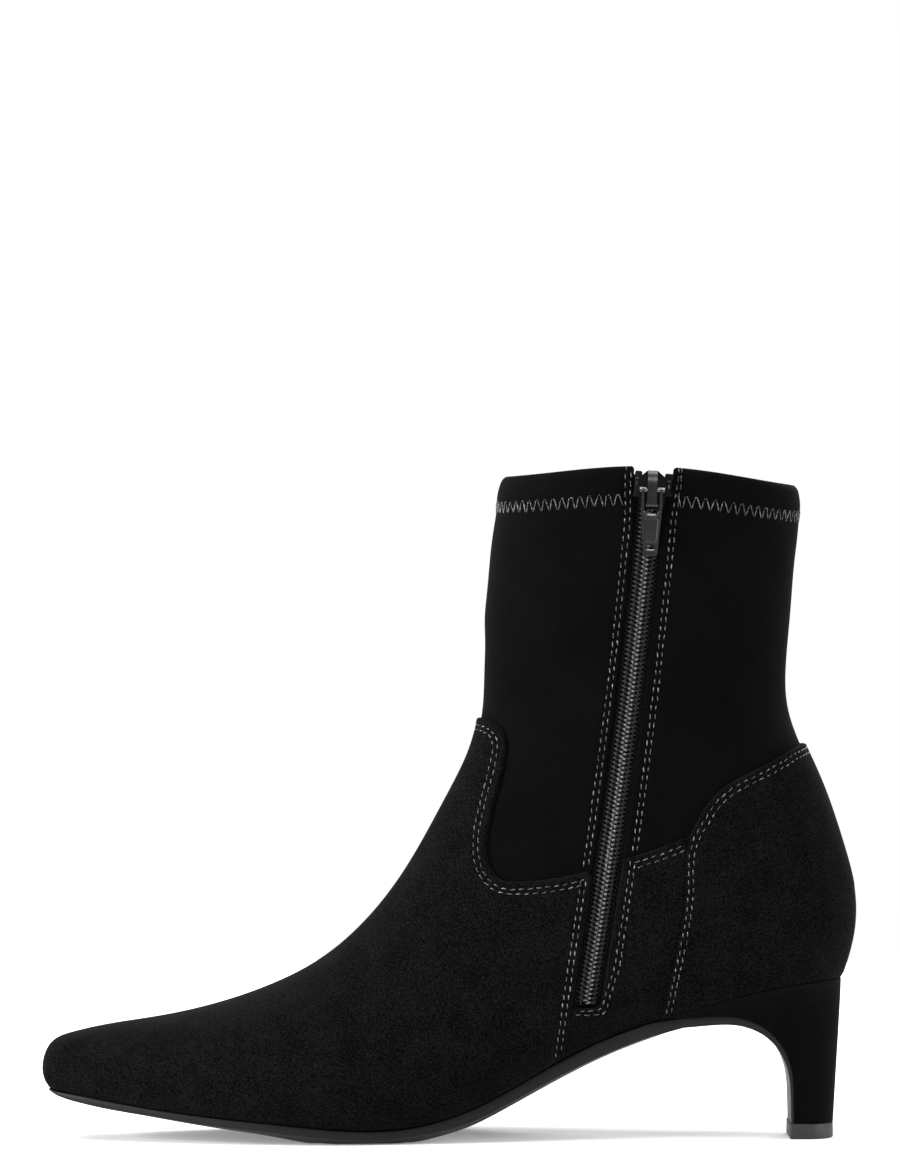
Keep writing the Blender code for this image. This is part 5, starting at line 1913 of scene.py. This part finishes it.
@dataclass
class SliderPull:
    """The slider with its bail, and the pull tab that swings on it (mm)."""

    THROUGH = 8.0
    OVERLAP = 0.05

    frame: SliderFrame
    plate: Pair = (1.1, 2.3)
    plate_round: float = 0.9
    plate_outline: Outline = (
        (0, 6.4), (1.7, 6.2), (2.3, 5.6), (3.7, 4.5), (4.35, 3.0), (4.5, 0.7), (4.1, -2.0), (3.6, -5.8)
    )
    wall_outline: Outline = ((4.4, 3.0), (3.5, -5.6), (2.9, -5.6), (3.6, 3.2))
    wall_round: float = 0.25
    wall_foot: float = -0.6
    wall_lap: float = 0.4
    bail: Pair = (-5.0, 6.4)
    bail_half: float = 1.5
    bail_round: float = 0.4
    bail_over: float = 5.4
    bail_leg: float = 1.1
    bail_lap: float = 0.5
    bail_bend: Pair = (5.0, 2.4)
    bail_under: Outline = ((1.1, 2.9), (2.6, 4.1), (4.4, 4.4))
    under_round: float = 0.5
    lip_outline: Outline = ((-0.1, 4.6), (0.5, 4.6), (0.5, 5.75), (-0.1, 5.75))
    lip_half: float = 1.85
    lip_round: float = 0.2
    slider_bevel: float = 0.25
    # How far past its face the plate's painted shade reaches (mm)
    shade_margin: float = 0.02
    pull_wall: float = 1.4
    pull_outline: Outline = (
        (2.9, 0.75), (3.3, 0.3), (3.3, -4.0), (3.15, -8.0), (2.2, -20.1), (1.8, -20.6)
    )
    pull_round: float = 0.35
    pull_bevel: float = 0.16
    bar_radius: float = 0.6
    bar_half: float = 3.85
    window: Sizes = (2.45, 3.0, 2.45, -7.3)
    window_slope: Hollow = Hollow((2.38, -3.0, 2.38, -7.2), (2.4, -3.0, 2.4, -8.1), 1.6, 0.25)
    panel: Hollow = Hollow((2.1, -9.2, 1.6, -16.0), (2.3, -8.9, 1.78, -16.25), 0.4, 0.35)
    eye: Sizes = (1.45, -17.0, 1.35, -18.5)
    eye_slope: Hollow = Hollow((1.35, -17.4, 1.3, -18.4), (1.4, -17.4, 1.4, -19.1), 0.3, 0.15)
    groove: Sizes = (3.0, -19.35, 3.0, -19.6)
    groove_depth: float = 0.25
    head_outline: Outline = ((0.05, 0.2), (0.95, 0.2), (0.95, 0.8), (0.3, 1.5), (0.05, 1.5))
    head_reach: Pair = (1.95, 3.95)

    def build(self) -> None:
        """Makes both pieces."""
        self.build_slider(PLATED_ZINC.material(), PLATE_PAINTED_SHADE.material())
        self.build_pull(PULL_ZINC_PAINTED_LIGHT.material())

    def build_slider(self, metal: Material, plate_shade: Material) -> None:
        """Makes the front plate with side walls down to the tape, and the bail over it.

        Args:
            metal: The bail's finish.
            plate_shade: The plate's, nearly black as painted shade.
        """
        frame = self.frame
        low, high = self.plate
        start, end = self.bail
        length, rise = self.bail_bend
        bend = [
            (end - length * (1 - math.cos(turn)), self.bail_over - rise * (1 - math.sin(turn)))
            for turn in np.linspace(0, math.pi / 2, 10)
        ]
        foot = high - self.bail_lap
        bail = [(start, foot), (end, foot), *bend, (start, self.bail_over)]
        under = [(start + self.bail_leg, high), (end - self.bail_leg, high)]
        under += [(end - reach, out) for reach, out in self.bail_under]
        under.append((start + self.bail_leg, self.bail_under[-1][1]))
        lip = [(start + reach, out) for reach, out in self.lip_outline]
        forms = []
        for side in (-1, 1):
            wall = rounded([(side * across, up) for across, up in self.wall_outline], self.wall_round, 3)
            forms.append((Join.ADD, prism(wall, self.wall_foot, low + self.wall_lap, frame.face)))
        for join, outline, half in (
            (Join.ADD, rounded(bail, self.bail_round), self.bail_half),
            (Join.CUT, rounded(under, self.under_round), self.THROUGH),
            (Join.ADD, rounded(lip, self.lip_round, 3), self.lip_half),
        ):
            forms.append((join, prism(outline, -half, half, frame.edge)))
        body = prism(rounded(mirrored(self.plate_outline), self.plate_round), low, high, frame.face)
        piece = shape_piece("slider_body", body, forms, metal, self.slider_bevel)
        # The plate's faces, behind the bail and the pull, get a nearly black copy of the plating: painted
        # shade
        piece.data.materials.append(plate_shade)
        for face in piece.data.polygons:
            height = (face.center - frame.origin).dot(frame.out)
            face.material_index = int(height < (high + self.shade_margin) * MM)
        place_piece(piece, "boot", "black_metal", "zip_slider")

    def sunk(self, hollow: Hollow, face: float) -> tuple[Join, Body]:
        """The cut that makes a hollow.

        Args:
            hollow: Its sizes.
            face: How far out the pull's face is.

        Returns:
            The form, and that it is cut away.
        """
        floor, rim = [rounded(taper(*sizes), hollow.corner) for sizes in (hollow.floor, hollow.rim)]
        return Join.CUT, prism(floor, face - hollow.depth, face + self.OVERLAP, self.frame.face, rim)

    def build_pull(self, metal: Material) -> None:
        """Makes the pull: two arms on a bar, a sunk panel left bare, and an eye near its end.

        Args:
            metal: Its finish, the plating painted paler as painted light.
        """
        frame = self.frame
        low = frame.HINGE_OUT - self.pull_wall / 2
        high = frame.HINGE_OUT + self.pull_wall / 2
        turn = np.linspace(0, 2 * math.pi, 20, endpoint=False)
        circle = [
            (self.bar_radius * math.cos(a), frame.HINGE_OUT + self.bar_radius * math.sin(a)) for a in turn
        ]
        window = rounded(taper(*self.window), self.window_slope.corner)
        eye = rounded(taper(*self.eye), self.eye_slope.corner)
        forms = [
            (Join.CUT, prism(window, 0.0, self.THROUGH, frame.face)),
            self.sunk(self.window_slope, high),
            (Join.ADD, prism(circle, -self.bar_half, self.bar_half, frame.edge)),
            self.sunk(self.panel, high),
            (Join.CUT, prism(eye, 0.0, self.THROUGH, frame.face)),
            self.sunk(self.eye_slope, high),
            (Join.CUT, prism(taper(*self.groove), high - self.groove_depth, self.THROUGH, frame.face)),
        ]
        head = [(up, low + out) for up, out in self.head_outline]
        near, far = self.head_reach
        for side in (-1, 1):
            forms.append((Join.ADD, prism(head, side * near, side * far, frame.edge)))
        body = prism(rounded(mirrored(self.pull_outline), self.pull_round, 4), low, high, frame.face)
        piece = shape_piece("pull_metal", body, forms, metal, self.pull_bevel)
        place_piece(piece, "pull_tab", "black_metal", "zip_pull")


@dataclass
class Bottom:
    """Outsole with its flap, covered heel, top piece and sock lining (mm)."""

    # The sole's edge downwards, as (inset, share of its thickness), and steps on under it
    EDGE = ((0.5, 0.0), (0.28, 0.02), (0.1, 0.10), (0.0, 0.28), (0.02, 0.5), (0.14, 0.74), (0.42, 0.92))
    UNDER = (0.0, 0.3, 0.65, 1.0)
    SOFT_ANGLE = math.radians(40)
    CREASE_ANGLE = math.radians(50)

    last: Last
    toe_length: float = 6.0
    toe_rings: int = 10
    sole_rings: int = 94
    under_inset: float = 0.9
    under_depth: float = 0.99
    sole_gap: float = 0.5
    seat_margin: float = 1.6
    seat_back: float = 124.9
    end_back: float = 122.4
    end_half: float = 12.0
    end_straight: float = 0.40
    top_piece_height: float = 5.0
    top_piece_front: float = 108.1
    top_piece_gap: float = 0.05
    top_piece_round: float = 0.45
    ring_count: int = 60
    heel_points: int = 26
    front_reach: float = 1.8
    front_length: float = 14.0
    flat_share: float = 0.70
    flap: Pair = (3.2, 1.0)
    flap_start: float = 0.3
    flap_inset: float = 0.3
    flap_sunk: float = 0.25
    seat_gap: float = 0.15
    sock_front: float = -123.0
    sock_length: float = 27.8
    sock_back: float = 120.4
    sock_margin: float = -2.8
    sock_wall: float = 2.2
    sock_edge: float = 0.5

    def end_halves(self, share: Array) -> Array:
        """Half-widths of the heel's lower end from its front (0) to its back (1)."""
        bend = np.clip((share - self.end_straight) / (1 - self.end_straight), 0, 1)
        return self.end_half * np.sqrt(1 - bend**2)

    def heel_ring(self, level: float, front_x: float, spread: float) -> Array:
        """One ring of the heel: inside from front to back, then outside from back to front.

        Args:
            level: From the top piece (0) to the seat (1).
            front_x: Where its front is.
            spread: From the lower end's shape (0) to the seat's (1).

        Returns:
            Points (mm).
        """
        back_x = self.end_back + (self.seat_back - self.end_back) * level
        share = np.sin(np.linspace(0, math.pi / 2, self.heel_points))
        x = front_x + (back_x - front_x) * share
        end_half = self.end_halves(share)
        seat_half = plan_halves(np.minimum(x, self.seat_back), self.seat_back, self.seat_margin)
        seat_half *= ((x - back_x) < -1e-9)[:, None]
        end_z = self.top_piece_height + self.top_piece_gap
        z = end_z + (self.last.feather_height(x) - self.seat_gap - end_z) * level
        halves = end_half[:, None] + (seat_half - end_half[:, None]) * spread
        halves[-1] = 0.0
        inside = np.column_stack([x, -halves[:, 0], z])
        outside = np.column_stack([x, halves[:, 1], z])
        return np.vstack([inside, outside[-2::-1]])

    def heel_rings(self) -> list[Array]:
        """Rings of the heel from the top piece up to the seat."""
        table = Spline([row.level for row in HEEL_ROWS], [row[1:] for row in HEEL_ROWS])
        levels = np.linspace(0, 1, self.ring_count)
        values = table(levels)
        values[:, 0] = np.minimum(values[:, 0], HEEL_ROWS[0].front_x)
        return [self.heel_ring(level, *row) for level, row in zip(levels, values)]

    def section(
        self, top: Array, down: Array, halves: Sequence[float], thickness: float, lift: float
    ) -> Array:
        """One section of the sole, from its inside top edge under it to its outside top edge.

        Args:
            top: (x, z) of its top.
            down: Direction in side view that its thickness goes.
            halves: Half-widths, inside and outside.
            thickness: At its edge.
            lift: How much lower its middle is.

        Returns:
            Points (mm).
        """
        points = []
        inset, depth_share = self.under_inset, self.under_depth
        for half, sign in ((halves[0], -1), (halves[1], 1)):
            side = [(half - reach, depth * thickness) for reach, depth in self.EDGE]
            for share in self.UNDER:
                width = (half - inset) + (half * self.flat_share - half + inset) * share
                fall = (lift + thickness * (1 - depth_share)) * smooth_step(share)
                side.append((width, thickness * depth_share + fall))
            side = [(width * sign, depth) for width, depth in side]
            points += side if sign < 0 else side[::-1]
        ring = [(*(top + down * depth), width) for width, depth in points]
        return np.array([(x, y, max(z, 0.0)) for x, z, y in ring])

    def outsole(self) -> Body:
        """The sole from the toe to the heel's front, and its flap down to the top piece."""
        rings = []
        table = Spline([row.x for row in SOLE_ROWS], [row[1:] for row in SOLE_ROWS])
        first, final = SOLE_ROWS[0].x, SOLE_ROWS[-1].x
        toe_end = first + self.toe_length
        toe = np.linspace(first, toe_end, self.toe_rings)[:-1]
        places = np.concatenate([toe, np.linspace(toe_end, final, self.sole_rings)])
        for x in places:
            thickness, margin, lift = table(x)[0]
            near_toe = 1 - smooth_step((x - first) / self.front_length)
            reach = self.front_reach * float(near_toe)
            halves = plan_halves(x + reach)[0] + margin
            top = np.array([x, float(self.last.feather_height(x + reach)) - self.sole_gap])
            rings.append(self.section(top, np.array([0.0, -1.0]), halves, thickness, lift))
        heel = self.heel_rings()[::-1]
        fronts = np.array([(ring[0][0], ring[0][2]) for ring in heel])
        keep = fronts[:, 0] > HEEL_ROWS[-2].front_x - self.flap_start
        tangents = np.gradient(fronts, axis=0)
        share = np.linspace(1, 0, keep.sum()) ** 2
        walls = self.flap[1] + (self.flap[0] - self.flap[1]) * share
        heel = [ring for ring, kept in zip(heel, keep) if kept]
        for front, tangent, ring, wall in zip(fronts[keep], tangents[keep], heel, walls):
            along = tangent / np.linalg.norm(tangent)
            down = np.array([along[1], -along[0]])
            halves = np.array([-ring[0][1], ring[-1][1]]) - self.flap_inset
            top = front - down * self.flap_sunk
            rings.append(self.section(top, down, halves, wall + self.flap_sunk, 0.0))
        return mapped_grid(np.array(rings))

    def top_piece(self) -> Body:
        """The layer that the heel stands on, with softened edges."""
        share = np.sin(np.linspace(0, math.pi / 2, self.heel_points))
        x = self.top_piece_front + (self.end_back - self.top_piece_front) * share
        half = self.end_halves(share)
        half[-1] = 0.0
        outline = list(zip(x, -half)) + list(zip(x[-2::-1], half[-2::-1]))
        body = prism(
            outline,
            0.0,
            self.top_piece_height,
            lambda a, b, c: Vector(np.array([a, b, c]) + LAST_SHIFT) * MM,
        )
        sharp = [edge for edge in body.edges if edge.calc_face_angle(0.0) > self.SOFT_ANGLE]
        soften(body, sharp, self.top_piece_round)
        return body

    def sock(self) -> Body:
        """The sock lining, a thin board with a rounded edge above the sole."""
        rings = []
        wall, edge = self.sock_wall, self.sock_edge
        straight = np.linspace(self.sock_front, HEEL_ROUND_START, 70)[:-1]
        curve = HEEL_ROUND_START + self.sock_length * np.sin(np.linspace(0, 1.57, 24))
        for x in np.concatenate([straight, curve]):
            inner, outer = plan_halves(x, self.sock_back, self.sock_margin)[0]
            low = float(self.last.feather_height(x)) + FIT_GAP
            points = [(-inner, 0.0), (outer, 0.0), (outer, wall - edge), (outer - edge, wall)]
            points += [(s * outer - (1 - s) * inner, wall) for s in (0.8, 0.6, 0.4, 0.2)]
            points += [(-inner + edge, wall), (-inner, wall - edge)]
            rings.append([(x, y, low + z) for y, z in points])
        return mapped_grid(np.array(rings))

    def build(self, rubber: Material, suede: Material, heel_rubber: Material, felt: Material) -> None:
        """Makes all four pieces.

        Args:
            rubber: The sole's material.
            suede: The heel's, painted darker as painted shade.
            heel_rubber: The top piece's.
            felt: The sock lining's.
        """
        heel = mapped_grid(np.array(self.heel_rings()))
        for name, body, material, slot, node in (
            ("sole_unit", self.outsole(), rubber, "sole_rubber", "outsole"),
            ("covered_heel", heel, suede, "suede", "heel"),
            ("heel_top_piece", self.top_piece(), heel_rubber, "sole_rubber", "top_piece"),
            ("sock_lining", self.sock(), felt, "insole_cloth", "insole"),
        ):
            piece = new_piece(name, body, [material])
            piece.data.set_sharp_from_angle(angle=self.CREASE_ANGLE)
            place_piece(piece, "boot", slot, node)


class Lamp(NamedTuple):
    """A square soft light: where it stands and its side (m), and its power (W)."""

    name: str
    place: tuple[float, float, float]
    size: float
    power: float


LAMPS = (
    Lamp("overhead", (-0.35, -0.15, 1.5), 1.6, 42.0),
    Lamp("key", (-1.1, -0.45, 0.35), 0.5, 27.0),
    Lamp("front", (0.15, -1.9, 1.2), 0.35, 5.0),
    Lamp("side", (1.3, -0.3, 0.5), 0.5, 15.0),
    Lamp("rim", (0.5, 1.4, 1.2), 1.0, 22.0),
)


@dataclass
class Studio:
    """Camera, pale floor and soft light (m)."""

    AIM = Vector((0.0, 0.0, 0.08))
    WHITE = (1.0, 1.0, 1.0, 1.0)

    distance: float = 2.0
    height: float = 0.1754
    frame_height: float = 0.37632
    sensor: float = 36.0
    floor_radius: float = 0.95
    floor_colour: str = "#e9e9e9"
    floor_roughness: float = 0.9
    floor_glow: float = 0.2
    room_light: float = 0.25

    def build(self) -> None:
        """Sets up the whole studio."""
        scene = bpy.context.scene
        scene.view_settings.view_transform = "Standard"
        self.camera()
        self.floor()
        for lamp in LAMPS:
            self.light(lamp)
        self.room()

    def room(self) -> None:
        """Surrounds the boot with a white room that lights it only faintly."""
        world = bpy.data.worlds.new("white_room")
        world.use_nodes = True
        tree = world.node_tree
        seen = add_node(tree, "ShaderNodeLightPath").outputs["Is Camera Ray"]
        ends = {"To Min": self.room_light, "To Max": 1.0}
        strength = add_node(tree, "ShaderNodeMapRange", {"Value": seen, **ends})
        background = tree.nodes["Background"]
        background.inputs["Color"].default_value = self.WHITE
        tree.links.new(strength.outputs["Result"], background.inputs["Strength"])
        bpy.context.scene.world = world

    def camera(self) -> None:
        """Places the camera level and square to the boot's inside."""
        data = bpy.data.cameras.new("camera")
        data.sensor_width = self.sensor
        data.lens = self.sensor * self.distance / self.frame_height
        camera = bpy.data.objects.new("camera", data)
        camera.location = (0.0, -self.distance, self.height)
        camera.rotation_euler = (math.pi / 2, 0.0, 0.0)
        bpy.context.scene.collection.objects.link(camera)
        bpy.context.scene.camera = camera

    def floor(self) -> None:
        """Lays a plain pale floor."""
        body = bmesh.new()
        bmesh.ops.create_circle(body, cap_ends=True, segments=96, radius=self.floor_radius)
        material = bpy.data.materials.new("pale_floor")
        material.use_nodes = True
        shader = material.node_tree.nodes["Principled BSDF"]
        for socket, value in (
            ("Base Color", linear(self.floor_colour)),
            ("Roughness", self.floor_roughness),
            ("Emission Color", self.WHITE),
            ("Emission Strength", self.floor_glow),
        ):
            shader.inputs[socket].default_value = value
        new_piece("floor", body, [material])

    def light(self, lamp: Lamp) -> None:
        """Adds a light aimed at the boot.

        Args:
            lamp: Its place, size and power.
        """
        data = bpy.data.lights.new(lamp.name, "AREA")
        data.size = lamp.size
        data.energy = lamp.power
        light = bpy.data.objects.new(lamp.name, data)
        light.location = lamp.place
        light.rotation_euler = (self.AIM - Vector(lamp.place)).to_track_quat("-Z", "Y").to_euler()
        bpy.context.scene.collection.objects.link(light)


@dataclass
class AnkleBoot:
    """The whole boot."""

    hinge: Vector
    last: Last = field(default_factory=Last)
    section_step: float = 1.7
    columns: int = 72

    def build(self) -> None:
        """Makes every piece."""
        plan = SidePlan()
        base = Sheet.on_last(self.last, self.section_step, self.columns)
        base.round_seat(self.last)
        base.measure(plan.lines)
        thread = Thread()
        Upper(self.last, plan, base, thread).build(STRETCH_MICROSUEDE.material(), KNIT_LINING.material())
        SuedePanels(self.last, plan, base, thread).build(BRUSHED_SUEDE.material())
        zip_materials = [finish.material() for finish in (WOVEN_TAPE, NYLON_COIL, NYLON_PAINTED_GLINT)]
        ZipFastener(base, plan).build(*zip_materials, thread)
        place_piece(thread.piece("seam_thread", GLINT_PAINTED_THREAD.material()), "boot", None)
        SliderPull(SliderFrame(self.hinge)).build()
        Bottom(self.last).build(
            SOLE_RUBBER.material(), HEEL_SUEDE_PAINTED_SHADE.material(), HEEL_RUBBER.material(), FELT_SOCK.material()
        )


def main() -> None:
    """Builds the scene round the frame."""
    logging.basicConfig(level=logging.INFO, format="%(message)s")
    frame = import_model()
    joint = frame["record"]["behaviour"]["joints"][0]
    AnkleBoot(Vector(joint["pos_m"])).build()
    Studio().build()


if __name__ == "__main__":
    main()
